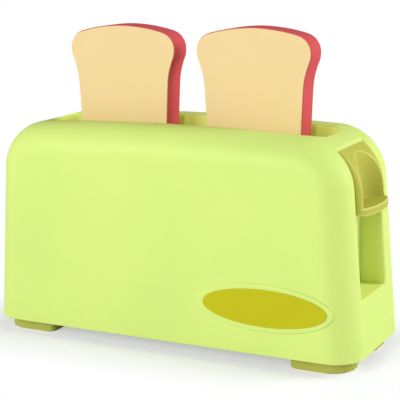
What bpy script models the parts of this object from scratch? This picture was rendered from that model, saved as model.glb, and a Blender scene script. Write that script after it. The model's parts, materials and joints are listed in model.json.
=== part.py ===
"""Toy toaster with two play toast slices that a sprung lever lowers and raises.

Metres. +X points to the lever end, +Y to the back, +Z up.
The origin lies on the table, below the middle of the casing.
The toaster is modelled with its lever up and both slices raised.
"""

import bpy
import bmesh
from math import acos, atan, cos, pi, radians, sin
from mathutils import Matrix, Vector
from mathutils.geometry import interpolate_bezier

# Clearances shared by all pieces, and the distance at which meeting points are one
FIT = 0.0003
OVERRUN = 0.004
MERGE = 0.000002

# Casing
CASE_LENGTH = 0.200
CASE_DEPTH = 0.0653
CASE_HEIGHT = 0.1046
END_DRAW = 0.0074
FACE_DRAW = 0.0010
TOP_CROWN = 0.0018
END_RADIUS = 0.025
FRONT_EDGE_RADIUS = 0.0145
BACK_EDGE_RADIUS = 0.0070
WALL = 0.0022
INNER_WALL = 0.0018

# Oval relief low on the front, near the lever end
RELIEF_LENGTH = 0.0690
RELIEF_WIDTH = 0.0230
RELIEF_RISE = 0.0008
RELIEF_FROM_END = 0.0445
RELIEF_ABOVE_RIM = 0.0232

# Toast slot and the chute below it
SLOT_FROM_END = 0.0235
SLOT_WIDTH = 0.0306
SLOT_CORNER = 0.0090
CHUTE_DEPTH = 0.0285

# Lever channel in the right-hand end
CHANNEL_WIDTH = 0.0337
CHANNEL_DEPTH = 0.0147
CHANNEL_ABOVE_RIM = 0.0270

# Bottom plate with its feet
FOOT_HEIGHT = 0.0060
FOOT_LENGTH = 0.0286
FOOT_WIDTH = 0.0170
FOOT_SET_IN = 0.0052
FOOT_INNER_CORNER = 0.0025
FOOT_EDGE = 0.0008
PLATE_THICKNESS = 0.0025
PLATE_SKIN = 0.0020

# Screws that hold the bottom plate, and the bosses that they enter
SCREW_FROM_POST = 0.0145
SCREW_SHANK_RADIUS = 0.0014
SCREW_SHANK_LENGTH = 0.0120
SCREW_TIP = 0.0020
SCREW_HEAD_RADIUS = 0.0030
SCREW_HEAD_HEIGHT = 0.0020
SCREW_HEAD_EDGE = 0.0007
SCREW_RECESS = 0.0004
BOSS_RADIUS = 0.0040
BOSS_HEIGHT = 0.0360
BOSS_BORE_SPARE = 0.0020

# Guide posts with their stop rings and springs
POST_RADIUS = 0.0020
POST_FROM_SLOT_END = 0.0070
POST_ABOVE_RING = 0.0025
POST_EDGE = 0.0005
SOCKET_RADIUS = 0.0045
SOCKET_HEIGHT = 0.0095
RING_RADIUS = 0.0040
RING_THICKNESS = 0.0022
SPRING_WIRE_RADIUS = 0.0004
SPRING_RADIUS = 0.0030
SPRING_CURLS = 12
SPRING_POINTS_PER_CURL = 9
SPRING_END_PITCH_SHARE = 0.42

# Toast carriage
TRAY_ABOVE_CHUTE_END = 0.0025
TRAY_THICKNESS = 0.0021
TRAY_FROM_SLEEVE = 0.0008
TRAY_LEDGE = 0.0006
TRAY_CORNER = 0.0030
FENCE_HEIGHT = 0.0093
FENCE_WALL = 0.0018
POCKET_WIDTH = 0.0212
POCKET_DIVIDER = 0.0179
POCKET_CORNER = 0.0020
SLEEVE_WALL = 0.0013
SLEEVE_ABOVE_FLOOR = 0.0053
SLEEVE_BELOW_ARM = 0.0005
WEB_THICKNESS = 0.0030
ARM_WIDTH = 0.0050
ARM_BELOW_CHUTE = 0.0012
BLADE_THICKNESS = 0.0020
BLADE_WIDTH = 0.0100
BLADE_LENGTH = 0.0225

# Finger lever
LEVER_SIDE_FIT = 0.00045
LEVER_BACK_FIT = 0.00035
LEVER_PROUD = 0.0028
LEVER_DROP = 0.0022
LEVER_EDGE = 0.0021
LEVER_BOTTOM_GAP = 0.0009
SHELF_BELOW_CHUTE = 0.0053
SHELF_THICKNESS = 0.0038
SHELF_PROUD = 0.0038
SHELF_BOW = 0.0028
SHELF_CORNER = 0.0020
SHELF_EDGE = 0.0009
SCOOP_RADIUS = 0.0165
SCOOP_WEB = 0.0034
BOSS_WALL = 0.0012
TONGUE_HEIGHT = 0.0034
TONGUE_REACH = 0.0042

# Sprung clip that grips the carriage's blade when the lever is down
CLIP_SHEET = 0.0006
CLIP_WIDTH = 0.0080
CLIP_FOOT_LENGTH = 0.0110
CLIP_SIDE_HEIGHT = 0.0075
CLIP_GRIP_OVERLAP = 0.0040
CLIP_LIP_RISE = 0.0030
CLIP_LIP_FLARE = 0.0015
CLIP_PAD_RADIUS = 0.0045
CLIP_PAD_HEIGHT = 0.0040

# Toast slices
SLICE_HEIGHT = 0.0696
SLICE_PLAY = 0.0043
SLICE_THICKNESS = 0.0136
SLICE_BACK_GAP = 0.0004
SLICE_SHIFT = 0.00165
CRUMB_THICKNESS = 0.0008
CRUMB_EDGE = 0.0003
CRUMB_SPIGOT_DEPTH = 0.0009
CRUMB_SPIGOT_SHARE = 0.86
SLICE_WAIST_SHARE = 0.826
# One side of a slice from foot to crown: share of half the width, then share of the height
SLICE_SIDE_SHARES = (
    (0.740, 0.000), (0.795, 0.008), (0.813, 0.036), (0.829, 0.180), (0.841, 0.345), (0.858, 0.489),
    (0.870, 0.575), (0.883, 0.632), (0.903, 0.675), (0.943, 0.733), (0.970, 0.761), (0.990, 0.787),
    (1.000, 0.820), (0.998, 0.845), (0.982, 0.874), (0.946, 0.902), (0.890, 0.928), (0.766, 0.955),
    (0.418, 0.986))

# Facets
ARC_STEPS = 8
CROWN_STEPS = 4
FRONT_STEPS = 6
BACK_STEPS = 4
CORNER_STEPS = 6
EDGE_STEPS = 2
TURN_STEPS = 24
SLICE_STEPS = 1

# Heights and places that follow from the sizes above
RIM = FOOT_HEIGHT
TOP = RIM + CASE_HEIGHT
END_LEAN = atan(END_DRAW / CASE_HEIGHT)
CHUTE_END = TOP - CHUTE_DEPTH
CHANNEL_BACK = CASE_LENGTH / 2 - CHANNEL_DEPTH
CHANNEL_FLOOR = RIM + CHANNEL_ABOVE_RIM
PLATE_BOTTOM = RIM + FIT
PLATE_TOP = PLATE_BOTTOM + PLATE_THICKNESS
PLATE_INSIDE = PLATE_BOTTOM + PLATE_SKIN
CUP_CEILING = PLATE_BOTTOM + SCREW_RECESS + SCREW_HEAD_HEIGHT + FIT
CUP_TOP = CUP_CEILING + PLATE_SKIN
CUP_RADIUS = SCREW_HEAD_RADIUS + FIT + INNER_WALL
TRAY_BOTTOM = CHUTE_END + TRAY_ABOVE_CHUTE_END
TRAY_FLOOR = TRAY_BOTTOM + TRAY_THICKNESS
TRAY_MIDDLE = TRAY_BOTTOM + TRAY_THICKNESS / 2
FENCE_TOP = TRAY_FLOOR + FENCE_HEIGHT
TRAY_WIDTH = POCKET_WIDTH + 2 * FENCE_WALL + 2 * TRAY_LEDGE
SLOT_LENGTH = CASE_LENGTH - 2 * SLOT_FROM_END
POST_X = SLOT_LENGTH / 2 - POST_FROM_SLOT_END
SCREW_X = POST_X - SCREW_FROM_POST
RELIEF_X = CASE_LENGTH / 2 - RELIEF_FROM_END
SOCKET_TOP = PLATE_TOP + SOCKET_HEIGHT
SLEEVE_TOP = TRAY_FLOOR + SLEEVE_ABOVE_FLOOR
SLEEVE_RADIUS = POST_RADIUS + FIT + SLEEVE_WALL
RING_BOTTOM = SLEEVE_TOP + FIT
POST_TOP = RING_BOTTOM + RING_THICKNESS + POST_ABOVE_RING
TRAY_LENGTH = 2 * (POST_X - SLEEVE_RADIUS - TRAY_FROM_SLEEVE)
POCKET_LENGTH = TRAY_LENGTH / 2 - TRAY_LEDGE - FENCE_WALL - POCKET_DIVIDER / 2
POCKET_SPACING = POCKET_LENGTH + POCKET_DIVIDER
SHELF_TOP = CHUTE_END - SHELF_BELOW_CHUTE
SHELF_BOTTOM = SHELF_TOP - SHELF_THICKNESS
SHELF_MIDDLE = SHELF_BOTTOM + SHELF_THICKNESS / 2
LEVER_BACK = CHANNEL_BACK + LEVER_BACK_FIT
LEVER_HALF_WIDTH = CHANNEL_WIDTH / 2 - LEVER_SIDE_FIT
TONGUE_TOP = SHELF_TOP - BOSS_WALL - FIT
TONGUE_BOTTOM = TONGUE_TOP - TONGUE_HEIGHT
LEVER_BOTTOM = TONGUE_BOTTOM - FIT - BOSS_WALL
SLEEVE_BOTTOM = TONGUE_BOTTOM - SLEEVE_BELOW_ARM
TRAVEL = LEVER_BOTTOM - CHANNEL_FLOOR - LEVER_BOTTOM_GAP
BLADE_TIP = TRAY_BOTTOM - BLADE_LENGTH
CLIP_BASE = PLATE_TOP + CLIP_PAD_HEIGHT + FIT
CLIP_GRIP = BLADE_TIP - TRAVEL + CLIP_GRIP_OVERLAP
SLICE_BOTTOM = TRAY_FLOOR + FIT
SLICE_WIDTH = (POCKET_LENGTH - SLICE_PLAY) / SLICE_WAIST_SHARE
SLICE_Y = POCKET_WIDTH / 2 - SLICE_BACK_GAP - SLICE_THICKNESS / 2


def case_half_length(z):
    """Half the casing's length at a height, drawn in toward the top."""
    return CASE_LENGTH / 2 - END_DRAW * (z - RIM) / CASE_HEIGHT


def case_half_depth(z):
    """Half the casing's depth at a height, drawn in toward the top."""
    return CASE_DEPTH / 2 - FACE_DRAW * (z - RIM) / CASE_HEIGHT


def end_arc_centre():
    """Centre of the arc that rounds the casing's upper corners, seen from the front."""
    z = TOP - TOP_CROWN - END_RADIUS
    return case_half_length(z) - END_RADIUS / cos(END_LEAN), z


# Collections, materials and objects

def clear_scene():
    for item in list(bpy.data.objects):
        bpy.data.objects.remove(item, do_unlink=True)


def make_collection(name):
    group = bpy.data.collections.new(name)
    bpy.context.scene.collection.children.link(group)
    return group


def linear(channel):
    """One sRGB channel, from 0 to 255, as a linear value."""
    share = channel / 255
    return share / 12.92 if share <= 0.04045 else ((share + 0.055) / 1.055) ** 2.4


def make_material(name, colour, roughness, metallic=0.0):
    material = bpy.data.materials.new(name)
    material.use_nodes = True
    shader = material.node_tree.nodes["Principled BSDF"]
    shader.inputs["Base Color"].default_value = [linear(c) for c in colour] + [1.0]
    shader.inputs["Roughness"].default_value = roughness
    shader.inputs["Metallic"].default_value = metallic
    return material


def make_object(name, data, group, material=None, location=(0, 0, 0)):
    item = bpy.data.objects.new(name, data)
    item.location = location
    group.objects.link(item)
    if material and not data.materials:
        data.materials.append(material)
    return item


def make_cutter(name, mesh, group, location=(0, 0, 0)):
    item = make_object(name, mesh, group, None, location)
    item.hide_render = True
    item.display_type = "WIRE"
    return item


def make_axis(name, location, group):
    """An empty that marks a joint's axis and carries what moves on it."""
    empty = bpy.data.objects.new(name, None)
    empty.location = location
    empty.empty_display_size = FOOT_HEIGHT
    group.objects.link(empty)
    return empty


def attach(child, parent):
    child.parent = parent
    child.matrix_parent_inverse = Matrix.Translation(parent.location).inverted()


def boolean(target, tool, operation):
    modifier = target.modifiers.new(tool.name, "BOOLEAN")
    modifier.operation = operation
    modifier.solver = "EXACT"
    modifier.object = tool


def finished(bm, name):
    mesh = bpy.data.meshes.new(name)
    bm.to_mesh(mesh)
    bm.free()
    mesh.shade_smooth()
    mesh.set_sharp_from_angle(angle=radians(35))
    return mesh


# Outlines

def rounded_outline(corners, steps=CORNER_STEPS):
    """A convex outline from corners (x, y, radius), listed anticlockwise."""
    points = []
    count = len(corners)
    for i, (x, y, radius) in enumerate(corners):
        here = Vector((x, y))
        before = (Vector(corners[i - 1][:2]) - here).normalized()
        after = (Vector(corners[(i + 1) % count][:2]) - here).normalized()
        if radius <= 0:
            points.append(here)
            continue
        half_angle = before.angle(after) / 2
        centre = here + (before + after).normalized() * radius / sin(half_angle)
        first = here + before * radius * cos(half_angle) / sin(half_angle) - centre
        turn = pi - 2 * half_angle
        points += [centre + Matrix.Rotation(turn * step / steps, 2) @ first for step in range(steps + 1)]
    return points


def rounded_box(x0, x1, y0, y1, radius):
    return rounded_outline([(x0, y0, radius), (x1, y0, radius), (x1, y1, radius), (x0, y1, radius)])


def oval_outline(x, y, half_length, half_width):
    steps = 2 * TURN_STEPS
    return [Vector((x + half_length * cos(2 * pi * i / steps), y + half_width * sin(2 * pi * i / steps)))
            for i in range(steps)]


def moved_inward(points, distance):
    """An outline, listed anticlockwise, with each point moved inward along its normal."""
    result = []
    for i, point in enumerate(points):
        before = (point - points[i - 1]).normalized()
        after = (points[(i + 1) % len(points)] - point).normalized()
        normals = [Vector((-edge.y, edge.x)) for edge in (before, after)]
        bisector = (normals[0] + normals[1]).normalized()
        result.append(point + bisector * distance / bisector.dot(normals[0]))
    return result


def case_outline(inset, foot):
    """Front view of the casing: leaning ends, round upper corners, crowned top, all moved inward."""
    centre_x, centre_z = end_arc_centre()
    radius = END_RADIUS - inset
    sweep = pi / 2 - END_LEAN - atan(2 * TOP_CROWN / centre_x)
    right = [Vector((case_half_length(foot) - inset / cos(END_LEAN), foot))]
    for step in range(ARC_STEPS + 1):
        angle = END_LEAN + sweep * step / ARC_STEPS
        right.append(Vector((centre_x + radius * cos(angle), centre_z + radius * sin(angle))))
    for step in range(1, CROWN_STEPS + 1):
        share = 1 - step / CROWN_STEPS
        right.append(Vector((centre_x * share, TOP - inset - TOP_CROWN * share ** 2)))
    return right + [Vector((-p.x, p.y)) for p in reversed(right[:-1])]


def case_plan(inset, z):
    """Plan of the casing at a height, moved inward: its front corners are the rounder ones."""
    x, y = case_half_length(z) - inset, case_half_depth(z) - inset
    front, back = FRONT_EDGE_RADIUS - inset, BACK_EDGE_RADIUS - inset
    return rounded_outline([(-x, -y, front), (x, -y, front), (x, y, back), (-x, y, back)])


# Solids

def outline_mesh(name, points, low, high, axis="Z"):
    """A flat outline drawn out along one axis, as a closed mesh with plain ends."""
    curve = bpy.data.curves.new(name, "CURVE")
    curve.dimensions = "2D"
    curve.fill_mode = "BOTH"
    curve.extrude = (high - low) / 2
    spline = curve.splines.new("POLY")
    spline.points.add(len(points) - 1)
    for point, (u, v) in zip(spline.points, points):
        point.co = (u, v, 0, 1)
    spline.use_cyclic_u = True
    item = bpy.data.objects.new(name, curve)
    item.location = Vector((0, 0, 1) if axis == "Z" else (0, 1, 0)) * (low + high) / 2
    item.rotation_euler = (0, 0, 0) if axis == "Z" else (pi / 2, 0, 0)
    bpy.context.scene.collection.objects.link(item)
    bpy.context.view_layer.update()
    mesh = bpy.data.meshes.new_from_object(item.evaluated_get(bpy.context.evaluated_depsgraph_get()))
    mesh.transform(item.matrix_world)
    bpy.data.objects.remove(item)
    bm = bmesh.new()
    bm.from_mesh(mesh)
    bmesh.ops.remove_doubles(bm, verts=bm.verts, dist=MERGE)
    bmesh.ops.dissolve_limit(bm, angle_limit=radians(0.05), verts=bm.verts, edges=bm.edges)
    bmesh.ops.recalc_face_normals(bm, faces=bm.faces)
    bm.to_mesh(mesh)
    bm.free()
    return mesh


def add_outline(bm, points, low, high, axis="Z"):
    mesh = outline_mesh("outline", points, low, high, axis)
    bm.from_mesh(mesh)
    bpy.data.meshes.remove(mesh)


def add_box(bm, x0, x1, y0, y1, z0, z1):
    centre = Vector(((x0 + x1) / 2, (y0 + y1) / 2, (z0 + z1) / 2))
    size = Matrix.Diagonal((x1 - x0, y1 - y0, z1 - z0, 1))
    bmesh.ops.create_cube(bm, size=1, matrix=Matrix.Translation(centre) @ size)


def add_cylinder(bm, x, y, radius, low, high, steps=TURN_STEPS):
    place = Matrix.Translation((x, y, (low + high) / 2))
    bmesh.ops.create_cone(bm, cap_ends=True, segments=steps, radius1=radius, radius2=radius, depth=high - low,
                          matrix=place)


def edges_at(bm, axis, level):
    """Edges that lie in a plane square to an axis (0 for X, 1 for Y, 2 for Z)."""
    return [edge for edge in bm.edges if all(abs(vert.co[axis] - level) < MERGE for vert in edge.verts)]


def round_edges(bm, edges, radius, steps):
    bmesh.ops.bevel(bm, geom=edges, offset=radius, offset_type="OFFSET", segments=steps, profile=0.5,
                    affect="EDGES")


def case_solid(name, skin, foot):
    """The casing's form, moved inward by skin: front and back edges are rounded all along the arch."""
    bm = bmesh.new()
    depth = CASE_DEPTH / 2 - skin
    add_outline(bm, case_outline(skin, foot), -depth, depth, "Y")
    for level, radius, steps in ((-depth, FRONT_EDGE_RADIUS - skin, FRONT_STEPS),
                                 (depth, BACK_EDGE_RADIUS - skin, BACK_STEPS)):
        foot_edges = edges_at(bm, 2, foot)
        round_edges(bm, [edge for edge in edges_at(bm, 1, level) if edge not in foot_edges], radius, steps)
    for vert in bm.verts:
        vert.co.y *= case_half_depth(vert.co.z) / case_half_depth(RIM)
    return finished(bm, name)


def outline_solid(name, points, low, high, axis="Z"):
    bm = bmesh.new()
    add_outline(bm, points, low, high, axis)
    return finished(bm, name)


def turned_object(name, profile, group, material, location=(0, 0, 0), closed=False):
    """A profile of (radius, height) points, listed down its outer side, turned round the Z axis."""
    bm = bmesh.new()
    verts = [bm.verts.new((radius, 0, height)) for radius, height in profile]
    for first, second in zip(verts, verts[1:] + verts[:1] if closed else verts[1:]):
        bm.edges.new((first, second))
    mesh = bpy.data.meshes.new(name)
    bm.to_mesh(mesh)
    bm.free()
    item = make_object(name, mesh, group, material, location)
    add_turn(item)
    return item


def add_turn(item):
    turn = item.modifiers.new("turn", "SCREW")
    turn.angle = 2 * pi
    turn.steps = TURN_STEPS
    turn.render_steps = TURN_STEPS
    turn.use_merge_vertices = True
    turn.merge_threshold = MERGE
    turn.use_smooth_shade = True


def four_places(x, y):
    """Four places, mirrored left to right and front to back."""
    return [(side_x * x, side_y * y) for side_y in (-1, 1) for side_x in (-1, 1)]


def screw_places():
    """Plan places of the plate screws, as near the long walls as their cups allow."""
    return four_places(SCREW_X, case_half_depth(RIM) - WALL - 2 * FIT - CUP_RADIUS)


# Casing

def relief_solid(cutters):
    """The oval relief: a slightly larger casing, kept only inside an oval on its front."""
    oval = oval_outline(RELIEF_X, RIM + RELIEF_ABOVE_RIM, RELIEF_LENGTH / 2, RELIEF_WIDTH / 2)
    front = -CASE_DEPTH / 2
    form = make_cutter("relief_form", outline_solid("relief_form", oval, front - OVERRUN, front + WALL, "Y"), cutters)
    relief = make_cutter("relief", case_solid("relief", -RELIEF_RISE, RIM), cutters)
    boolean(relief, form, "INTERSECT")
    return relief


def inner_walls(cutters):
    """What the hollow leaves standing inside: chute, channel liner, screw bosses."""
    bm = bmesh.new()
    x, y = SLOT_LENGTH / 2 + INNER_WALL, SLOT_WIDTH / 2 + INNER_WALL
    add_outline(bm, rounded_box(-x, x, -y, y, SLOT_CORNER + INNER_WALL), CHUTE_END, TOP + OVERRUN)
    y = CHANNEL_WIDTH / 2 + INNER_WALL
    add_box(bm, CHANNEL_BACK - INNER_WALL, CASE_LENGTH / 2 + OVERRUN, -y, y, CHANNEL_FLOOR - INNER_WALL, TOP + OVERRUN)
    for x, y in screw_places():
        add_cylinder(bm, x, y, BOSS_RADIUS, CUP_TOP + FIT, CUP_TOP + BOSS_HEIGHT)
    return make_cutter("inner_walls", finished(bm, "inner_walls"), cutters)


def boss_ribs(cutters):
    """A rib from each screw boss to the long wall beside it."""
    bm = bmesh.new()
    for x, y in screw_places():
        wall = (case_half_depth(RIM) + OVERRUN) * (1 if y > 0 else -1)
        add_box(bm, x - INNER_WALL / 2, x + INNER_WALL / 2, *sorted((y, wall)), CUP_TOP + 2 * FIT,
                CUP_TOP + BOSS_HEIGHT - FIT)
    return make_cutter("boss_ribs", finished(bm, "boss_ribs"), cutters)


def case_cuts(cutters):
    """Slot, lever channel and the bosses' bores."""
    bm = bmesh.new()
    x, y = SLOT_LENGTH / 2, SLOT_WIDTH / 2
    add_outline(bm, rounded_box(-x, x, -y, y, SLOT_CORNER), CHUTE_END - OVERRUN, TOP + OVERRUN)
    y = CHANNEL_WIDTH / 2
    add_box(bm, CHANNEL_BACK, CASE_LENGTH / 2 + OVERRUN, -y, y, CHANNEL_FLOOR, TOP + OVERRUN)
    for x, y in screw_places():
        bore_top = CUP_CEILING + SCREW_SHANK_LENGTH + BOSS_BORE_SPARE
        add_cylinder(bm, x, y, SCREW_SHANK_RADIUS + FIT, CUP_TOP - OVERRUN, bore_top)
    return make_cutter("case_cuts", finished(bm, "case_cuts"), cutters)


def arm_slit(cutters):
    """The upright slit in the channel's back wall that the carriage's arm runs in."""
    bm = bmesh.new()
    half = ARM_WIDTH / 2 + 2 * FIT
    add_box(bm, CHANNEL_BACK - INNER_WALL - OVERRUN, CHANNEL_BACK + OVERRUN, -half, half,
            TONGUE_BOTTOM - TRAVEL - 2 * FIT, TONGUE_TOP + 2 * FIT)
    return make_cutter("arm_slit", finished(bm, "arm_slit"), cutters)


def build_housing(parts, cutters, material):
    cavity = make_cutter("cavity", case_solid("cavity", WALL, RIM - OVERRUN), cutters)
    boolean(cavity, inner_walls(cutters), "DIFFERENCE")
    boolean(cavity, boss_ribs(cutters), "DIFFERENCE")
    housing = make_object("housing", case_solid("housing", 0, RIM), parts, material)
    boolean(housing, relief_solid(cutters), "UNION")
    boolean(housing, cavity, "DIFFERENCE")
    boolean(housing, case_cuts(cutters), "DIFFERENCE")
    boolean(housing, arm_slit(cutters), "DIFFERENCE")


# Bottom plate

def foot_outline(side_x, side_y, inset=0):
    """Plan of one foot: its outer corner follows the casing's, its other corners are small."""
    x1, y1 = case_half_length(RIM) - FOOT_SET_IN, case_half_depth(RIM) - FOOT_SET_IN
    x0, y0 = x1 - FOOT_LENGTH + inset, y1 - FOOT_WIDTH + inset
    x1, y1 = x1 - inset, y1 - inset
    small = max(FOOT_INNER_CORNER - inset, 0)
    outer = max((FRONT_EDGE_RADIUS if side_y < 0 else BACK_EDGE_RADIUS) - FOOT_SET_IN - inset, small)
    corners = [(side_x * x0, side_y * y0, small), (side_x * x1, side_y * y0, small),
               (side_x * x1, side_y * y1, outer), (side_x * x0, side_y * y1, small)]
    return rounded_outline(corners if side_x * side_y > 0 else corners[::-1])


def plate_bosses(cutters):
    """Feet, screw cups, post sockets and the clip's pad."""
    bm = bmesh.new()
    for side_x, side_y in four_places(1, 1):
        add_outline(bm, foot_outline(side_x, side_y), 0, PLATE_TOP - PLATE_THICKNESS / 2)
    round_edges(bm, edges_at(bm, 2, 0), FOOT_EDGE, EDGE_STEPS)
    low = PLATE_TOP - PLATE_THICKNESS / 2
    for x, y in screw_places():
        add_cylinder(bm, x, y, CUP_RADIUS, low, CUP_TOP)
    for x in (-POST_X, POST_X):
        add_cylinder(bm, x, 0, SOCKET_RADIUS, low, SOCKET_TOP)
    add_cylinder(bm, 0, 0, CLIP_PAD_RADIUS, low, PLATE_TOP + CLIP_PAD_HEIGHT)
    return make_cutter("plate_bosses", finished(bm, "plate_bosses"), cutters)


def plate_cuts(cutters):
    """Hollows of the feet, recesses for the screw heads, bores of the sockets and of the pad."""
    bm = bmesh.new()
    for side_x, side_y in four_places(1, 1):
        add_outline(bm, foot_outline(side_x, side_y, PLATE_SKIN), PLATE_SKIN, PLATE_TOP + OVERRUN)
    for x, y in screw_places():
        add_cylinder(bm, x, y, SCREW_HEAD_RADIUS + FIT, PLATE_BOTTOM - OVERRUN, CUP_CEILING)
    for x in (-POST_X, POST_X):
        add_cylinder(bm, x, 0, POST_RADIUS + FIT, PLATE_INSIDE - FIT, SOCKET_TOP + OVERRUN)
    add_cylinder(bm, 0, 0, SCREW_SHANK_RADIUS + FIT, PLATE_INSIDE - FIT, CLIP_BASE + OVERRUN)
    return make_cutter("plate_cuts", finished(bm, "plate_cuts"), cutters)


def foot_ribs(cutters):
    """A rib across the hollow of each foot."""
    bm = bmesh.new()
    x = case_half_length(RIM) - FOOT_SET_IN - FOOT_LENGTH / 2
    y1 = case_half_depth(RIM) - FOOT_SET_IN - PLATE_SKIN / 2
    y0 = y1 - FOOT_WIDTH + PLATE_SKIN
    for side_x, side_y in four_places(1, 1):
        add_box(bm, side_x * x - PLATE_SKIN / 2, side_x * x + PLATE_SKIN / 2, *sorted((side_y * y0, side_y * y1)),
                PLATE_SKIN / 2, PLATE_BOTTOM)
    return make_cutter("foot_ribs", finished(bm, "foot_ribs"), cutters)


def plate_shank_holes(cutters):
    bm = bmesh.new()
    for x, y in screw_places():
        add_cylinder(bm, x, y, SCREW_SHANK_RADIUS + FIT, PLATE_BOTTOM, CUP_TOP + OVERRUN)
    return make_cutter("plate_shank_holes", finished(bm, "plate_shank_holes"), cutters)


def build_base_plate(parts, cutters, material):
    plan = case_plan(WALL + FIT, PLATE_TOP)
    plate = make_object("base_plate", outline_solid("base_plate", plan, PLATE_BOTTOM, PLATE_TOP), parts, material)
    boolean(plate, plate_bosses(cutters), "UNION")
    boolean(plate, plate_cuts(cutters), "DIFFERENCE")
    boolean(plate, plate_shank_holes(cutters), "DIFFERENCE")
    boolean(plate, foot_ribs(cutters), "UNION")


# Screws

def screw_profile(reach, tip):
    """Pan-head screw, the underside of its head at zero and its point downward."""
    head, edge, height = SCREW_HEAD_RADIUS, SCREW_HEAD_EDGE, SCREW_HEAD_HEIGHT
    shank = SCREW_SHANK_RADIUS
    return [(0, height), (head - edge, height), (head, height - edge), (head, 0), (shank, 0),
            (shank, -reach + tip), (0, -reach)]


def build_screws(parts, material):
    """Four screws that come up from below, and one that holds the clip down from above."""
    places = screw_places()
    height = PLATE_BOTTOM + SCREW_RECESS + SCREW_HEAD_HEIGHT
    first = turned_object("base_screw_1", screw_profile(SCREW_SHANK_LENGTH, SCREW_TIP), parts, material,
                          (*places[0], height))
    screws = [first]
    for number, place in enumerate(places[1:], start=2):
        screws.append(make_object("base_screw_%d" % number, first.data, parts, material, (*place, height)))
        add_turn(screws[-1])
    for screw in screws:
        screw.rotation_euler = (pi, 0, 0)
    seat = CLIP_BASE + CLIP_SHEET + FIT
    turned_object("clip_screw", screw_profile(seat - PLATE_INSIDE, SCREW_TIP), parts, material, (0, 0, seat))


# Guide posts, stop rings and springs

def spring_path():
    """One helix from end to end, its pitch drawn closer toward both ends."""
    low = SOCKET_TOP + FIT + SPRING_WIRE_RADIUS
    high = SLEEVE_BOTTOM - FIT - SPRING_WIRE_RADIUS
    count = SPRING_CURLS * SPRING_POINTS_PER_CURL
    ease = (1 - SPRING_END_PITCH_SHARE) / (2 * pi)
    points = []
    for i in range(count + 1):
        share = i / count
        angle = 2 * pi * SPRING_CURLS * share
        height = low + (high - low) * (share - ease * sin(2 * pi * share))
        points.append(Vector((SPRING_RADIUS * cos(angle), SPRING_RADIUS * sin(angle), height)))
    return points


def least_gap(points):
    """Smallest gap between neighbouring curls, measured on their points."""
    near, far = SPRING_POINTS_PER_CURL // 2, 2 * SPRING_POINTS_PER_CURL
    return min((a - b).length - 2 * SPRING_WIRE_RADIUS
               for i, a in enumerate(points) for b in points[i + near:i + far])


def spring_curve(material):
    path = spring_path()
    print("carriage springs: least gap between curls %.2f mm" % (least_gap(path) * 1000))
    curve = bpy.data.curves.new("carriage_spring", "CURVE")
    curve.dimensions = "3D"
    curve.bevel_depth = SPRING_WIRE_RADIUS
    curve.bevel_resolution = 1
    curve.use_fill_caps = True
    spline = curve.splines.new("POLY")
    spline.points.add(len(path) - 1)
    for point, place in zip(spline.points, path):
        point.co = (*place, 1)
    curve.materials.append(material)
    return curve


def build_posts(parts, steel, spring_steel):
    radius, edge = POST_RADIUS, POST_EDGE
    post = [(0, POST_TOP), (radius - edge, POST_TOP), (radius, POST_TOP - edge), (radius, PLATE_INSIDE),
            (0, PLATE_INSIDE)]
    bore, top = POST_RADIUS + FIT, RING_BOTTOM + RING_THICKNESS
    ring = [(RING_RADIUS, top), (RING_RADIUS, RING_BOTTOM), (bore, RING_BOTTOM), (bore, top)]
    spring = spring_curve(spring_steel)
    for side, x in (("left", -POST_X), ("right", POST_X)):
        turned_object("guide_post_" + side, post, parts, steel, (x, 0, 0))
        turned_object("stop_ring_" + side, ring, parts, spring_steel, (x, 0, 0), closed=True)
        make_object("carriage_spring_" + side, spring, parts, None, (x, 0, 0))


# Catch clip

def build_clip(parts, cutters, material):
    """A folded strip: a foot under the screw, and two fingers that pinch the blade near their tips."""
    pinch = BLADE_THICKNESS / 2 + FIT + CLIP_SHEET / 2
    foot = CLIP_FOOT_LENGTH / 2
    low = CLIP_BASE + CLIP_SHEET / 2
    right = [(foot, low), (foot, low + CLIP_SIDE_HEIGHT), (pinch, CLIP_GRIP),
             (pinch + CLIP_LIP_FLARE, CLIP_GRIP + CLIP_LIP_RISE)]
    path = [(-x, z) for x, z in reversed(right)] + right
    bm = bmesh.new()
    verts = [bm.verts.new((x, -CLIP_WIDTH / 2, z)) for x, z in path]
    edges = [bm.edges.new(pair) for pair in zip(verts, verts[1:])]
    drawn = bmesh.ops.extrude_edge_only(bm, edges=edges)["geom"]
    bmesh.ops.translate(bm, vec=(0, CLIP_WIDTH, 0), verts=[v for v in drawn if isinstance(v, bmesh.types.BMVert)])
    clip = make_object("catch_clip", finished(bm, "catch_clip"), parts, material)
    sheet = clip.modifiers.new("sheet", "SOLIDIFY")
    sheet.thickness = CLIP_SHEET
    sheet.offset = 0
    sheet.use_even_offset = True
    hole = bmesh.new()
    add_cylinder(hole, 0, 0, SCREW_SHANK_RADIUS + FIT, CLIP_BASE - FIT, CLIP_BASE + CLIP_SHEET + FIT)
    boolean(clip, make_cutter("clip_hole", finished(hole, "clip_hole"), cutters), "DIFFERENCE")


# Toast carriage

def arm_outline():
    """Side view of the arm: deep at its sleeve, drawn down to the tongue that enters the lever."""
    shoulder = CHUTE_END - ARM_BELOW_CHUTE
    neck = CHANNEL_BACK - INNER_WALL - FIT
    tip = LEVER_BACK + TONGUE_REACH
    return [Vector(p) for p in ((POST_X, TONGUE_BOTTOM), (tip, TONGUE_BOTTOM), (tip, TONGUE_TOP),
                                (neck, TONGUE_TOP), (SLOT_LENGTH / 2, shoulder), (POST_X, shoulder))]


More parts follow.
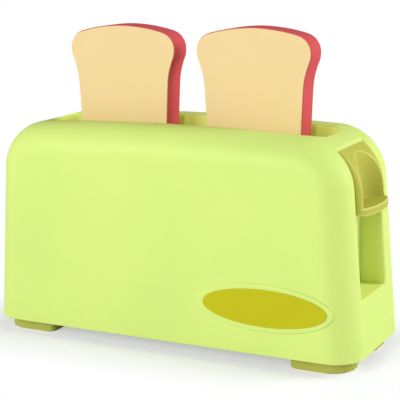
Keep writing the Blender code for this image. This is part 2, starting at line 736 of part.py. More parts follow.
def carriage_additions(cutters):
    """Fences, then webs with the blade, then sleeves, then the arm; each joins what is before it."""
    fences, webs, sleeves = bmesh.new(), bmesh.new(), bmesh.new()
    x, y = POCKET_LENGTH / 2 + FENCE_WALL, POCKET_WIDTH / 2 + FENCE_WALL
    for side in (-1, 1):
        centre = side * POCKET_SPACING / 2
        add_outline(fences, rounded_box(centre - x, centre + x, -y, y, POCKET_CORNER + FENCE_WALL), TRAY_MIDDLE,
                    FENCE_TOP)
        ends = sorted((side * (POCKET_SPACING / 2 + POCKET_LENGTH / 2), side * POST_X))
        add_box(webs, *ends, -WEB_THICKNESS / 2, WEB_THICKNESS / 2, TONGUE_BOTTOM, TRAY_MIDDLE)
        add_cylinder(sleeves, side * POST_X, 0, SLEEVE_RADIUS, SLEEVE_BOTTOM, SLEEVE_TOP)
    add_box(webs, -BLADE_THICKNESS / 2, BLADE_THICKNESS / 2, -BLADE_WIDTH / 2, BLADE_WIDTH / 2, BLADE_TIP, TRAY_MIDDLE)
    arm = outline_solid("carriage_arm", arm_outline(), -ARM_WIDTH / 2, ARM_WIDTH / 2, "Y")
    named = [("carriage_fences", finished(fences, "carriage_fences")), ("carriage_webs", finished(webs, "carriage_webs")),
             ("carriage_sleeves", finished(sleeves, "carriage_sleeves")), ("carriage_arm", arm)]
    return [make_cutter(name, mesh, cutters) for name, mesh in named]


def build_carriage(parts, cutters, material):
    x, y = TRAY_LENGTH / 2, TRAY_WIDTH / 2
    tray = outline_solid("carriage", rounded_box(-x, x, -y, y, TRAY_CORNER), TRAY_BOTTOM, TRAY_FLOOR)
    carriage = make_object("carriage", tray, parts, material)
    for tool in carriage_additions(cutters):
        boolean(carriage, tool, "UNION")
    pockets, bores = bmesh.new(), bmesh.new()
    x, y = POCKET_LENGTH / 2, POCKET_WIDTH / 2
    for side in (-1, 1):
        centre = side * POCKET_SPACING / 2
        add_outline(pockets, rounded_box(centre - x, centre + x, -y, y, POCKET_CORNER), TRAY_FLOOR, FENCE_TOP + OVERRUN)
        add_cylinder(bores, side * POST_X, 0, POST_RADIUS + FIT, SLEEVE_BOTTOM - OVERRUN, SLEEVE_TOP + OVERRUN)
    boolean(carriage, make_cutter("carriage_pockets", finished(pockets, "carriage_pockets"), cutters), "DIFFERENCE")
    boolean(carriage, make_cutter("carriage_bores", finished(bores, "carriage_bores"), cutters), "DIFFERENCE")
    return carriage


# Finger lever

def lever_outline():
    """Side view of the lever: the casing's end, moved outward and a little down."""
    centre_x, centre_z = end_arc_centre()
    centre_x, centre_z = centre_x + LEVER_PROUD, centre_z - LEVER_DROP
    outer = case_half_length(SHELF_BOTTOM + LEVER_DROP) + LEVER_PROUD
    sweep = acos((LEVER_BACK - centre_x) / END_RADIUS) - END_LEAN
    points = [Vector((LEVER_BACK, SHELF_BOTTOM)), Vector((outer, SHELF_BOTTOM))]
    for step in range(ARC_STEPS + 1):
        angle = END_LEAN + sweep * step / ARC_STEPS
        points.append(Vector((centre_x + END_RADIUS * cos(angle), centre_z + END_RADIUS * sin(angle))))
    return points


def shelf_outline():
    """Plan of the lip that a finger presses down: bowed outward between two small round corners."""
    back, y = LEVER_BACK + FIT, LEVER_HALF_WIDTH - FIT
    lip = case_half_length(SHELF_BOTTOM) + SHELF_PROUD
    spots = [2 * step / ARC_STEPS - 1 for step in range(ARC_STEPS + 1)]
    front = [(lip + SHELF_BOW * (1 - spot ** 2), spot * y, 0 if abs(spot) < 1 else SHELF_CORNER) for spot in spots]
    return rounded_outline([(back, -y, 0)] + front + [(back, y, 0)], CORNER_STEPS // 2)


def lever_shelf(cutters):
    back = LEVER_BACK + FIT
    bm = bmesh.new()
    add_outline(bm, shelf_outline(), SHELF_BOTTOM, SHELF_TOP)
    lip_edges = [edge for level in (SHELF_BOTTOM, SHELF_TOP) for edge in edges_at(bm, 2, level)
                 if edge not in edges_at(bm, 0, back)]
    round_edges(bm, lip_edges, SHELF_EDGE, EDGE_STEPS)
    return make_cutter("lever_shelf", finished(bm, "lever_shelf"), cutters)


def build_lever(parts, cutters, material):
    """A thick shield that fills the channel's top, scooped out above its lip."""
    block, boss, scoop, socket = bmesh.new(), bmesh.new(), bmesh.new(), bmesh.new()
    add_outline(block, lever_outline(), -LEVER_HALF_WIDTH, LEVER_HALF_WIDTH, "Y")
    kept_sharp = edges_at(block, 0, LEVER_BACK) + edges_at(block, 2, SHELF_BOTTOM)
    for level in (-LEVER_HALF_WIDTH, LEVER_HALF_WIDTH):
        round_edges(block, [edge for edge in edges_at(block, 1, level) if edge not in kept_sharp], LEVER_EDGE,
                    BACK_STEPS)
        kept_sharp = [edge for edge in kept_sharp if edge.is_valid]
    reach, y = LEVER_BACK + TONGUE_REACH + FIT, ARM_WIDTH / 2 + FIT
    add_box(boss, LEVER_BACK, reach + BOSS_WALL, -y - BOSS_WALL, y + BOSS_WALL, LEVER_BOTTOM, SHELF_MIDDLE)
    add_cylinder(scoop, LEVER_BACK + SCOOP_WEB + SCOOP_RADIUS, 0, SCOOP_RADIUS, SHELF_TOP, TOP, 3 * TURN_STEPS)
    add_box(socket, LEVER_BACK - OVERRUN, reach, -y, y, TONGUE_BOTTOM - FIT, TONGUE_TOP + FIT)
    lever = make_object("lever", finished(block, "lever"), parts, material)
    boolean(lever, lever_shelf(cutters), "UNION")
    boolean(lever, make_cutter("lever_boss", finished(boss, "lever_boss"), cutters), "UNION")
    boolean(lever, make_cutter("lever_scoop", finished(scoop, "lever_scoop"), cutters), "DIFFERENCE")
    boolean(lever, make_cutter("lever_socket", finished(socket, "lever_socket"), cutters), "DIFFERENCE")
    return lever


# Toast slices

def slice_outline():
    """Front view of a slice: flat foot, waisted sides, bulging shoulders and a domed crown."""
    side = [Vector((x * SLICE_WIDTH / 2, z * SLICE_HEIGHT)) for x, z in SLICE_SIDE_SHARES]
    path = side + [Vector((0, SLICE_HEIGHT))] + [Vector((-p.x, p.y)) for p in reversed(side)]
    padded = path[:1] + path + path[-1:]
    points = []
    for before, start, end, after in zip(padded, padded[1:], padded[2:], padded[3:]):
        handles = start + (end - before) / 6, end - (after - start) / 6
        points += interpolate_bezier(start, *handles, end, SLICE_STEPS + 1)[:-1]
    return [Vector(point[:2]) for point in points] + path[-1:]


def spigot_outline(outline):
    """The slice's outline drawn in toward its middle."""
    middle = Vector((0, SLICE_HEIGHT / 2))
    return [middle + (point - middle) * CRUMB_SPIGOT_SHARE for point in outline]


def crumb_plate(name, outline, face):
    """A thin plate with the slice's own outline and a spigot behind it that locates it in the crust."""
    half = SLICE_THICKNESS / 2
    floor = half - CRUMB_THICKNESS
    bm, spigot = bmesh.new(), bmesh.new()
    add_outline(bm, outline, *sorted((face * floor, face * half)), "Y")
    round_edges(bm, edges_at(bm, 1, face * half), CRUMB_EDGE, 1)
    add_outline(spigot, spigot_outline(outline), *sorted((face * (floor - CRUMB_SPIGOT_DEPTH), face * (floor + FIT))), "Y")
    return finished(bm, name), finished(spigot, name + "_spigot")


def build_slice(side, x, parts, cutters, crust_material, crumb_material):
    """A crust slab between two crumb plates, each seated in it by a shallow spigot."""
    name = "toast_" + side
    outline = slice_outline()
    half = SLICE_THICKNESS / 2 - CRUMB_THICKNESS
    place = (x, SLICE_Y, SLICE_BOTTOM)
    crust = make_object(name + "_crust", outline_solid(name + "_crust", outline, -half, half, "Y"), parts,
                        crust_material, place)
    pieces = [crust]
    seats = bmesh.new()
    for face, label in ((-1, "front"), (1, "back")):
        plate_name = name + "_crumb_" + label
        recess = sorted((face * (half - CRUMB_SPIGOT_DEPTH - FIT), face * (half + OVERRUN)))
        add_outline(seats, moved_inward(spigot_outline(outline), -FIT), *recess, "Y")
        plate, spigot = crumb_plate(plate_name, outline, face)
        pieces.append(make_object(plate_name, plate, parts, crumb_material, place))
        boolean(pieces[-1], make_cutter(plate_name + "_spigot", spigot, cutters, place), "UNION")
    boolean(crust, make_cutter(name + "_seats", finished(seats, name + "_seats"), cutters, place), "DIFFERENCE")
    return pieces


def main():
    clear_scene()
    parts = make_collection("toy_toaster")
    cutters = make_collection("cutters")
    axes = make_collection("joint_axes")
    lime = make_material("lime_plastic", (214, 237, 124), 0.32)
    olive = make_material("olive_lever_plastic", (186, 186, 68), 0.34)
    olive_plate = make_material("olive_plate_plastic", (168, 170, 66), 0.42)
    carriage_plastic = make_material("carriage_plastic", (176, 178, 70), 0.45)
    red = make_material("crust_plastic", (214, 92, 96), 0.34)
    cream = make_material("crumb_plastic", (242, 214, 152), 0.46)
    steel = make_material("bright_steel", (190, 192, 196), 0.28, 1.0)
    spring_steel = make_material("spring_steel", (150, 152, 158), 0.32, 1.0)
    zinc = make_material("zinc_plated_steel", (176, 178, 180), 0.38, 1.0)

    build_housing(parts, cutters, lime)
    build_base_plate(parts, cutters, olive_plate)
    build_screws(parts, zinc)
    build_posts(parts, steel, spring_steel)
    build_clip(parts, cutters, spring_steel)

    slide = make_axis("lever_slide_axis", (0, 0, TRAY_BOTTOM), axes)
    for item in (build_carriage(parts, cutters, carriage_plastic), build_lever(parts, cutters, olive)):
        attach(item, slide)
    for side, sign in (("left", -1), ("right", 1)):
        x = sign * POCKET_SPACING / 2 + SLICE_SHIFT
        lift = make_axis("toast_%s_lift_axis" % side, (x, SLICE_Y, SLICE_BOTTOM), axes)
        attach(lift, slide)
        for item in build_slice(side, x, parts, cutters, red, cream):
            item.parent = lift
            item.matrix_parent_inverse = Matrix.Translation((x, SLICE_Y, SLICE_BOTTOM)).inverted()


if __name__ == "__main__":
    main()
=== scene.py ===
"""Looks of the toy toaster: every piece that shows, its plastics and metals, and the stage round it.

Metres. +X points to the lever end, +Y to the back and +Z up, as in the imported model.
The file is laid out as an add-on and builds everything when it is run as a script.
"""

import json
from math import acos, atan, cos, pi, radians, sin, sqrt

import bmesh
import bpy
from bpy.props import FloatProperty, FloatVectorProperty, IntProperty, PointerProperty
from bpy.types import Operator, Panel, PropertyGroup
from mathutils import Matrix, Vector
from mathutils.geometry import interpolate_bezier


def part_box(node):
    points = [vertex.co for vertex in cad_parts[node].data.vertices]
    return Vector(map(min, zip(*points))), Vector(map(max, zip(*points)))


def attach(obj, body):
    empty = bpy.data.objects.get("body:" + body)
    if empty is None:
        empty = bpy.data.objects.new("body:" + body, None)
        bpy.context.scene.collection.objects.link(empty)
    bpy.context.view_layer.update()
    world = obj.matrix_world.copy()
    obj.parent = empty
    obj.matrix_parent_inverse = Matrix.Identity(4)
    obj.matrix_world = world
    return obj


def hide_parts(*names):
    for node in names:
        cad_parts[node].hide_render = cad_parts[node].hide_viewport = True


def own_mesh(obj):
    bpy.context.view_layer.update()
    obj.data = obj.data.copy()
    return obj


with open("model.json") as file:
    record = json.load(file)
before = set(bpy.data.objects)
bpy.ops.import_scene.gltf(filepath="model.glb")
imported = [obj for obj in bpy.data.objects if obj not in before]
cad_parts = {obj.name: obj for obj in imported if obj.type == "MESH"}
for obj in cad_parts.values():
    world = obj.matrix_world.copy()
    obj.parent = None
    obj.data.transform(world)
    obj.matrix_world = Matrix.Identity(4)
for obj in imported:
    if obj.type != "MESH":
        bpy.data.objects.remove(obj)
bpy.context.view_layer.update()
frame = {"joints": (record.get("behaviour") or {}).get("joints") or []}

bl_info = {
    "name": "Toy Toaster Looks",
    "version": (1, 0, 0),
    "blender": (4, 5, 0),
    "location": "3D View > Sidebar > Toaster",
    "description": "Builds the toy toaster's visible pieces, their materials and the stage round them",
    "category": "Object",
}

FIT = 0.0003
OVERRUN = 0.004
MERGE = 0.000002

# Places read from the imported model
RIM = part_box("housing")[0].z
HALF_LENGTH, HALF_DEPTH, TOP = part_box("housing")[1]
PLATE_BOTTOM = RIM + FIT
TRAY_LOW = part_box("carriage")[0]
LEVER_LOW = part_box("lever")[0]
POST_LOW, POST_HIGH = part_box("guide_post_right")
POST_X, POST_RADIUS = (POST_LOW.x + POST_HIGH.x) / 2, (POST_HIGH.x - POST_LOW.x) / 2
RING_LOW, RING_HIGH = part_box("stop_ring_right")
SPRING_LOW, SPRING_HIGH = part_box("carriage_spring_right")
CLIP_LOW, CLIP_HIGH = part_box("catch_clip")
CLIP_SCREW_LOW, CLIP_SCREW_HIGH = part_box("clip_screw")
TRAVEL = next(joint for joint in frame["joints"] if joint["name"] == "lever_slide")["range_m"][1]


def linear(channel):
    """One sRGB channel, from 0 to 255, as a linear value."""
    share = channel / 255
    return share / 12.92 if share <= 0.04045 else ((share + 0.055) / 1.055) ** 2.4


def colour(name, description, *channels):
    return FloatVectorProperty(name=name, description=description, subtype="COLOR", size=3, min=0, max=1,
                               default=[linear(channel) for channel in channels])


def length(name, description, default):
    return FloatProperty(name=name, description=description, default=default, min=0, unit="LENGTH")


def share(name, description, default):
    return FloatProperty(name=name, description=description, default=default, min=0, max=1, subtype="FACTOR")


def turn(name, description, degrees):
    return FloatProperty(name=name, description=description, default=radians(degrees), unit="ROTATION")


def strength(name, description, default):
    return FloatProperty(name=name, description=description, default=default, min=0)


# Sizes and colours

class CasingSizes(PropertyGroup):
    end_draw: length("End draw", "How far each end leans in from rim to top", 0.0074)
    face_draw: length("Face draw", "How far front and back lean in from rim to top", 0.0010)
    crown: length("Crown", "Rise of the top between its round corners", 0.0018)
    end_radius: length("End radius", "Radius of the upper corners, seen from the front", 0.025)
    front_edge: length("Front edge", "Radius of the edge round the front", 0.0145)
    back_edge: length("Back edge", "Radius of the edge round the back", 0.0070)
    wall: length("Wall", "Thickness of the outer wall", 0.0022)
    inner_wall: length("Inner wall", "Thickness of chute, channel and ribs", 0.0018)
    foot_edge: length("Lower edge", "Rounding of the shell's lower edge", 0.0005)
    slot_from_end: length("Slot from end", "Distance from the casing's end to the slot", 0.0235)
    slot_width: length("Slot width", "Width of the toast slot", 0.0306)
    slot_corner: length("Slot corner", "Corner radius of the slot", 0.0090)
    slot_edge: length("Slot edge", "Rounding of the slot's upper edge", 0.0012)
    chute_depth: length("Chute depth", "Depth of the walls below the slot", 0.0285)
    channel_width: length("Channel width", "Width of the lever channel", 0.0337)
    channel_depth: length("Channel depth", "Depth of the channel from the end at the rim", 0.0147)
    channel_above_rim: length("Channel floor", "Height of the channel's floor above the rim", 0.0270)
    channel_edge: length("Channel edge", "Rounding of the channel's outer edges", 0.0013)
    boss_radius: length("Boss radius", "Radius of the screw bosses", 0.0040)
    boss_height: length("Boss height", "Height of the screw bosses", 0.0360)
    arm_width: length("Arm width", "Width of the carriage's arm", 0.0050)
    colour: colour("Colour", "Lime-green plastic", 214, 237, 129)
    # Painted light: the lime inside the slot and the channel is lighter than the shell's, in place of light
    # that reaches there
    slot_painted_light: colour("Slot colour", "Lime-green plastic inside the slot", 230, 252, 124)
    channel_painted_light: colour("Channel colour", "Lime-green plastic inside the channel", 231, 244, 138)


class ReliefSizes(PropertyGroup):
    from_end: length("From the end", "Distance from the casing's end to the oval's middle", 0.0445)
    above_rim: length("Above rim", "Height of the oval's middle above the rim", 0.0232)
    pad_length: length("Pad length", "Length of the raised oval", 0.0690)
    pad_width: length("Pad width", "Width of the raised oval", 0.0230)
    pad_rise: length("Pad rise", "How far the oval stands out", 0.0008)
    pad_edge: length("Pad edge", "Rounding of the oval's edge", 0.0007)
    plate_length: length("Plate length", "Length of the olive oval", 0.0630)
    plate_width: length("Plate width", "Width of the olive oval", 0.0180)
    plate_rise: length("Plate rise", "How far the olive oval stands out of the pad", 0.0004)
    colour: colour("Colour", "Olive of the bare oval", 194, 189, 22)


class LeverSizes(PropertyGroup):
    side_fit: length("Side gap", "Gap between lever and channel walls", 0.00045)
    proud: length("Proud", "How far the lever stands out of the casing's end", 0.0028)
    drop: length("Drop", "How far the lever's round top lies below the casing's", 0.0022)
    edge: length("Edge", "Radius of the lever's side edges", 0.0021)
    shelf_thickness: length("Lip thickness", "Thickness of the lip", 0.0038)
    shelf_proud: length("Lip proud", "How far the lip's corners stand out", 0.0038)
    shelf_bow: length("Lip bow", "How far the lip bows out between its corners", 0.0028)
    shelf_corner: length("Lip corner", "Corner radius of the lip", 0.0020)
    shelf_edge: length("Lip edge", "Edge radius of the lip", 0.0009)
    scoop_radius: length("Scoop radius", "Radius of the finger scoop", 0.0165)
    scoop_web: length("Scoop web", "Material left behind the scoop", 0.0034)
    boss_wall: length("Boss wall", "Wall round the socket for the carriage's arm", 0.0012)
    tongue_height: length("Tongue height", "Height of the carriage's tongue", 0.0034)
    tongue_reach: length("Tongue reach", "How far the tongue enters the lever", 0.0042)
    voxel: length("Grain of the form", "Size at which the form is resolved", 0.00024)
    colour: colour("Colour", "Olive plastic of the lever", 190, 190, 80)
    # Painted highlight: a pale colour laid on the lever's outstanding edges in place of the highlights they
    # catch
    painted_edge_highlight: colour("Edge colour", "Pale rubbed edges of the lever", 228, 226, 146)


class CarriageSizes(PropertyGroup):
    thickness: length("Tray thickness", "Thickness of the tray", 0.0021)
    above_chute_end: length("Above chute end", "Height of the raised tray above the chute's end", 0.0025)
    ledge: length("Ledge", "Ledge of the tray outside its fences", 0.0006)
    corner: length("Corner", "Corner radius of the tray", 0.0030)
    fence_height: length("Fence height", "Height of the fences round the pockets", 0.0093)
    fence_wall: length("Fence wall", "Thickness of the fences", 0.0018)
    pocket_width: length("Pocket width", "Width of a pocket", 0.0212)
    pocket_divider: length("Pocket divider", "Distance between the pockets", 0.0179)
    pocket_corner: length("Pocket corner", "Corner radius of a pocket", 0.0020)
    from_sleeve: length("From sleeve", "Distance between tray and sleeves", 0.0008)
    sleeve_wall: length("Sleeve wall", "Wall of the sleeves on the posts", 0.0013)
    web: length("Web", "Thickness of the webs to the sleeves", 0.0030)
    arm_below_chute: length("Arm below chute", "Gap between arm and chute", 0.0012)
    blade_thickness: length("Blade thickness", "Thickness of the blade", 0.0020)
    blade_width: length("Blade width", "Width of the blade", 0.0100)
    colour: colour("Colour", "Olive plastic of the carriage", 176, 178, 70)


class PlateSizes(PropertyGroup):
    thickness: length("Thickness", "Thickness of the bottom plate", 0.0025)
    skin: length("Skin", "Wall of feet, cups and sockets", 0.0020)
    foot_length: length("Foot length", "Length of a foot", 0.0286)
    foot_width: length("Foot width", "Width of a foot", 0.0170)
    foot_set_in: length("Foot set in", "How far the feet stand in from the rim", 0.0052)
    foot_corner: length("Foot corner", "Radius of the feet's inner corners", 0.0025)
    foot_edge: length("Foot edge", "Rounding of the feet's lower edges", 0.0009)
    socket_radius: length("Socket radius", "Radius of the post sockets", 0.0045)
    socket_height: length("Socket height", "Height of the post sockets", 0.0095)
    pad_radius: length("Pad radius", "Radius of the pad under the catch", 0.0045)
    pad_height: length("Pad height", "Height of the pad under the catch", 0.0040)
    colour: colour("Colour", "Olive plastic of the bottom plate", 178, 181, 82)


class SteelSizes(PropertyGroup):
    screw_from_post: length("Screw from post", "Distance from post to plate screws", 0.0145)
    shank_radius: length("Shank radius", "Radius of a screw's shank", 0.0014)
    shank_length: length("Shank length", "Length of a plate screw below its head", 0.0120)
    tip: length("Tip", "Length of a screw's point", 0.0020)
    head_radius: length("Head radius", "Radius of a screw's head", 0.0030)
    head_height: length("Head height", "Height of a screw's head", 0.0020)
    head_edge: length("Head edge", "Rounding of a screw's head", 0.0008)
    thread_pitch: length("Thread pitch", "Distance between a screw's threads", 0.0011)
    cross: length("Cross", "Span of the cross in a screw's head", 0.0034)
    recess: length("Recess", "How far the heads lie below the plate", 0.0004)
    spring_wire: length("Spring wire", "Radius of the springs' wire", 0.0004)
    spring_radius: length("Spring radius", "Radius of the springs", 0.0030)
    spring_curls: IntProperty(name="Curls", description="Curls of each spring", default=12, min=2)
    end_pitch: share("End pitch", "Pitch at the springs' ends, as a share of the middle's", 0.42)
    sheet: length("Sheet", "Thickness of the catch's strip", 0.0006)
    side_height: length("Side height", "Height of the catch's upright sides", 0.0075)
    lip_rise: length("Lip rise", "Height of the catch's lips", 0.0030)
    lip_flare: length("Lip flare", "How far the lips open", 0.0015)
    bright: colour("Bright steel", "Colour of the ground rods", 190, 192, 196)
    spring: colour("Spring steel", "Colour of springs, rings and catch", 150, 152, 158)
    zinc: colour("Zinc", "Colour of the plated screws", 176, 178, 180)


class SliceSizes(PropertyGroup):
    crumb: length("Crumb thickness", "Thickness of a cream plate", 0.0008)
    crumb_inset: length("Crumb inset", "How far a cream plate lies inside the crust's outline", 0.00045)
    crumb_edge: length("Crumb edge", "Rounding of a cream plate", 0.0003)
    crust_edge: length("Crust edge", "Rounding of the crust", 0.0003)
    crust: colour("Crust", "Red plastic of the crust", 209, 84, 87)
    cream: colour("Cream", "Cream plastic of the crumb", 242, 212, 153)


class StageSizes(PropertyGroup):
    target: FloatVectorProperty(name="Target", description="Point that the camera looks at", unit="LENGTH",
                                default=(0.00657, 0, 0.07035))
    distance: length("Distance", "Camera's distance from its target", 0.6214)
    azimuth: turn("Azimuth", "Camera's turn to the right of the front", 27.30)
    elevation: turn("Elevation", "Camera's height above level", 11.985)
    roll: turn("Roll", "Camera's roll", -1.049)
    lens: FloatProperty(name="Lens", description="Focal length", unit="CAMERA", default=112.27)
    floor_size: length("Floor size", "Side of the floor", 4.0)
    pale: length("White from", "Distance from the object at which the floor is plain white", 0.042)
    floor: colour("Floor", "Pale floor", 210, 210, 218)
    lift: strength("Lift", "Strength of the white laid over the floor near the object", 0.40)
    ambient: strength("Ambient", "Strength of the light from all round", 0.62)
    overhead: strength("Overhead", "Strength of the light from straight above", 0.10)
    key: strength("Key", "Power of the lamp at the front left", 10.4)
    fill: strength("Fill", "Power of the lamp at the right", 15.0)
    front: strength("Front", "Power of the small lamp in front", 5.4)


SETTINGS = {
    "toaster_casing": CasingSizes, "toaster_relief": ReliefSizes, "toaster_lever": LeverSizes,
    "toaster_carriage": CarriageSizes, "toaster_plate": PlateSizes, "toaster_steel": SteelSizes,
    "toaster_slices": SliceSizes, "toaster_stage": StageSizes,
}

# One side of a slice from foot to crown: share of half the width, then share of the height
SLICE_SIDE_SHARES = (
    (0.740, 0.000), (0.795, 0.008), (0.813, 0.036), (0.829, 0.180), (0.841, 0.345), (0.858, 0.489),
    (0.870, 0.575), (0.883, 0.632), (0.903, 0.675), (0.943, 0.733), (0.970, 0.761), (0.990, 0.787),
    (1.000, 0.820), (0.998, 0.845), (0.982, 0.874), (0.946, 0.902), (0.890, 0.928), (0.766, 0.955),
    (0.418, 0.986))

# Steps in which curves are drawn
ARC_STEPS = 30
CROWN_STEPS = 10
EDGE_STEPS = 14
CORNER_STEPS = 14
SMALL_CORNER_STEPS = 8
SMALL_EDGE_STEPS = 4
LEVER_EDGE_STEPS = 8
FILLET_STEPS = 5
TURN_STEPS = 72
SCOOP_STEPS = 180
BOSS_STEPS = 40
BORE_STEPS = 32
OVAL_STEPS = 120
CURL_STEPS = 28
BEZIER_STEPS = 6
PAD_EDGE_STEPS = 5
OVAL_EDGE_STEPS = 4
HEAD_EDGE_STEPS = 5

# A screw's thread as shares of its radius and pitch, then its other shares
THREAD_SHARES = ((0.74, 0.30), (1, 0.55), (1, 0.65), (0.74, 0.90))
LAST_THREAD_SHARE = 1.6
POINT_SHARE = 0.62
NECK_SHARE = 0.85
DOME_SHARE = 0.35
CROSS_ARM = 7

# A rounded rim stops just short of lying flat in the skin, and this share of its radius further out
RIM_SWEEP = radians(82)
RIM_END_SHARE = 0.87

# Spacing of points along a cut, and of the rings that fill an oval's face from first to last
CUT_SPACING = 0.0035
RING_SPACING = 0.0011
PAD_FIRST_RING = 0.0008
OVAL_FIRST_RING = 0.0006
LAST_RING = 0.0004

# How deep the pad and the olive oval reach into the front, how far the oval sinks into the pad and how
# far its middle lies off the pad's
PAD_ROOT = 0.0017
OVAL_ROOT = 0.0006
OVAL_SINK = 0.0001
OVAL_SHIFT = 0.0001

# Steel: gap round the axis of a screw, edges, bends and the cut of a screw's cross
AXIS_GAP = 0.00003
SMALL_CHAMFER = 0.0002
RING_CHAMFER = 0.0003
POST_EDGE = 0.0005
STRIP_BEND = 0.0011
SCREW_DOME = 0.00001
CROSS_DEPTH = 0.0012
CROSS_ABOVE = 0.001

# Lever: share of the lip that is bowed, passes of rubbing and of evening out the painted highlight on its
# edges
LIP_SPAN_SHARE = 0.84
LEVER_PASSES = 16
HIGHLIGHT_ROUNDS = 3

# Outlines and forms

def rounded_outline(corners, steps=CORNER_STEPS):
    """A convex outline from corners (x, y, radius), listed anticlockwise."""
    points = []
    for i, (x, y, radius) in enumerate(corners):
        here = Vector((x, y))
        before = (Vector(corners[i - 1][:2]) - here).normalized()
        after = (Vector(corners[(i + 1) % len(corners)][:2]) - here).normalized()
        if radius <= 0:
            points.append(here)
            continue
        half_angle = before.angle(after) / 2
        centre = here + (before + after).normalized() * radius / sin(half_angle)
        first = here + before * radius * cos(half_angle) / sin(half_angle) - centre
        turn = pi - 2 * half_angle
        points += [centre + Matrix.Rotation(turn * step / steps, 2) @ first for step in range(steps + 1)]
    return points


def rounded_box(x0, x1, y0, y1, radius):
    return rounded_outline([(x0, y0, radius), (x1, y0, radius), (x1, y1, radius), (x0, y1, radius)])


def divided(outline, spacing):
    """An outline with points added on its long edges."""
    points = []
    for here, after in zip(outline, outline[1:] + outline[:1]):
        count = max(1, round((after - here).length / spacing))
        points += [here.lerp(after, i / count) for i in range(count)]
    return points


def moved_inward(points, distance):
    """An outline, listed anticlockwise, with each point moved inward along its normal."""
    result = []
    for i, point in enumerate(points):
        before = (point - points[i - 1]).normalized()
        after = (points[(i + 1) % len(points)] - point).normalized()
        normals = [Vector((-edge.y, edge.x)) for edge in (before, after)]
        bisector = (normals[0] + normals[1]).normalized()
        result.append(point + bisector * distance / bisector.dot(normals[0]))
    return result


def add_loft(bm, rings, closed=False):
    """Skin from ring to ring, with a cap at each end unless the last ring meets the first."""
    loops = [[bm.verts.new(point) for point in ring] for ring in rings]
    pairs = zip(loops, loops[1:] + loops[:1] if closed else loops[1:])
    for low, high in pairs:
        for i in range(len(low)):
            j = (i + 1) % len(low)
            bm.faces.new((low[i], low[j], high[j], high[i]))
    if not closed:
        bm.faces.new(loops[0][::-1])
        bm.faces.new(loops[-1])


def add_prism(bm, outline, low, high, axis="Z"):
    """A flat outline drawn out along Z, or along Y with its second coordinate upright."""
    if axis == "Z":
        add_loft(bm, [[(x, y, level) for x, y in outline] for level in (low, high)])
    else:
        add_loft(bm, [[(x, level, z) for x, z in outline] for level in (high, low)])


def add_box(bm, x0, x1, y0, y1, z0, z1):
    add_prism(bm, [Vector(p) for p in ((x0, y0), (x1, y0), (x1, y1), (x0, y1))], z0, z1)


def arc(centre, radius, start, end):
    """Points on an arc from one angle to another."""
    angles = [start + (end - start) * step / ARC_STEPS for step in range(ARC_STEPS + 1)]
    return [Vector((centre[0] + radius * cos(angle), centre[1] + radius * sin(angle))) for angle in angles]


def oval(centre, wide, high, steps):
    """Points on an oval round a centre."""
    angles = [2 * pi * i / steps for i in range(steps)]
    return [(centre[0] + wide * cos(angle), centre[1] + high * sin(angle)) for angle in angles]


def quarter(radius, steps, sweep=pi / 2):
    """A rounded edge as distances inward from its one face and short of its other face."""
    angles = [sweep * step / steps for step in range(steps + 1)]
    return [(radius * (1 - cos(angle)), radius * (1 - sin(angle))) for angle in angles]


def add_cylinder(bm, x, y, radius, low, high, steps=TURN_STEPS):
    add_prism(bm, oval((x, y), radius, radius, steps), low, high)


def add_turned(bm, profile, x, hollow=False):
    """A profile of (radius, height) points, listed upward, turned round an upright axis."""
    add_loft(bm, [[(*point, height) for point in oval((x, 0), radius, radius, TURN_STEPS)]
                  for radius, height in profile], closed=hollow)


def form():
    return bmesh.new()


def prism(outline, low, high, axis="Z"):
    bm = form()
    add_prism(bm, outline, low, high, axis)
    return bm


def edges_at(bm, axis, level):
    """Edges that lie in a plane square to an axis (0 for X, 1 for Y, 2 for Z)."""
    return [edge for edge in bm.edges if all(abs(vert.co[axis] - level) < MERGE for vert in edge.verts)]


def round_edges(bm, edges, radius, steps):
    bmesh.ops.bevel(bm, geom=edges, offset=radius, offset_type="OFFSET", segments=steps, profile=0.5,
                    affect="EDGES")


def meshed(bm, name="form"):
    bmesh.ops.recalc_face_normals(bm, faces=bm.faces)
    mesh = bpy.data.meshes.new(name)
    bm.to_mesh(mesh)
    bm.free()
    return mesh


def placed(name, mesh):
    item = bpy.data.objects.new(name, mesh)
    bpy.context.scene.collection.objects.link(item)
    return item


def evaluated(item):
    bpy.context.view_layer.update()
    return bpy.data.meshes.new_from_object(item.evaluated_get(bpy.context.evaluated_depsgraph_get()))


def combined(first, *steps):
    """The mesh left when other forms are joined to the first one or cut from it in turn."""
    item = placed("first", meshed(first))
    tools = []
    for operation, bm in steps:
        tools.append(placed("tool", meshed(bm)))
        modifier = item.modifiers.new("step", "BOOLEAN")
        modifier.operation, modifier.solver, modifier.object = operation, "EXACT", tools[-1]
    mesh = evaluated(item)
    for spare in [item] + tools:
        data = spare.data
        bpy.data.objects.remove(spare)
        bpy.data.meshes.remove(data)
    if not mesh.polygons:
        raise RuntimeError("a form vanished while it was cut")
    return welded(mesh)


def as_form(mesh):
    bm = form()
    bm.from_mesh(mesh)
    bpy.data.meshes.remove(mesh)
    return bm


def welded(mesh):
    """The mesh with corners that lie on each other made one."""
    bm = as_form(mesh)
    bmesh.ops.remove_doubles(bm, verts=bm.verts, dist=MERGE)
    return meshed(bm)


def softened(mesh, voxel, passes):
    """The form resolved in small cells and rubbed smooth, so that every edge is round."""
    item = placed("soft", mesh)
    cells = item.modifiers.new("cells", "REMESH")
    cells.mode, cells.voxel_size, cells.use_smooth_shade = "VOXEL", voxel, True
    rub = item.modifiers.new("rub", "SMOOTH")
    rub.factor, rub.iterations = 0.5, passes
    result = evaluated(item)
    bpy.data.objects.remove(item)
    bpy.data.meshes.remove(mesh)
    return result


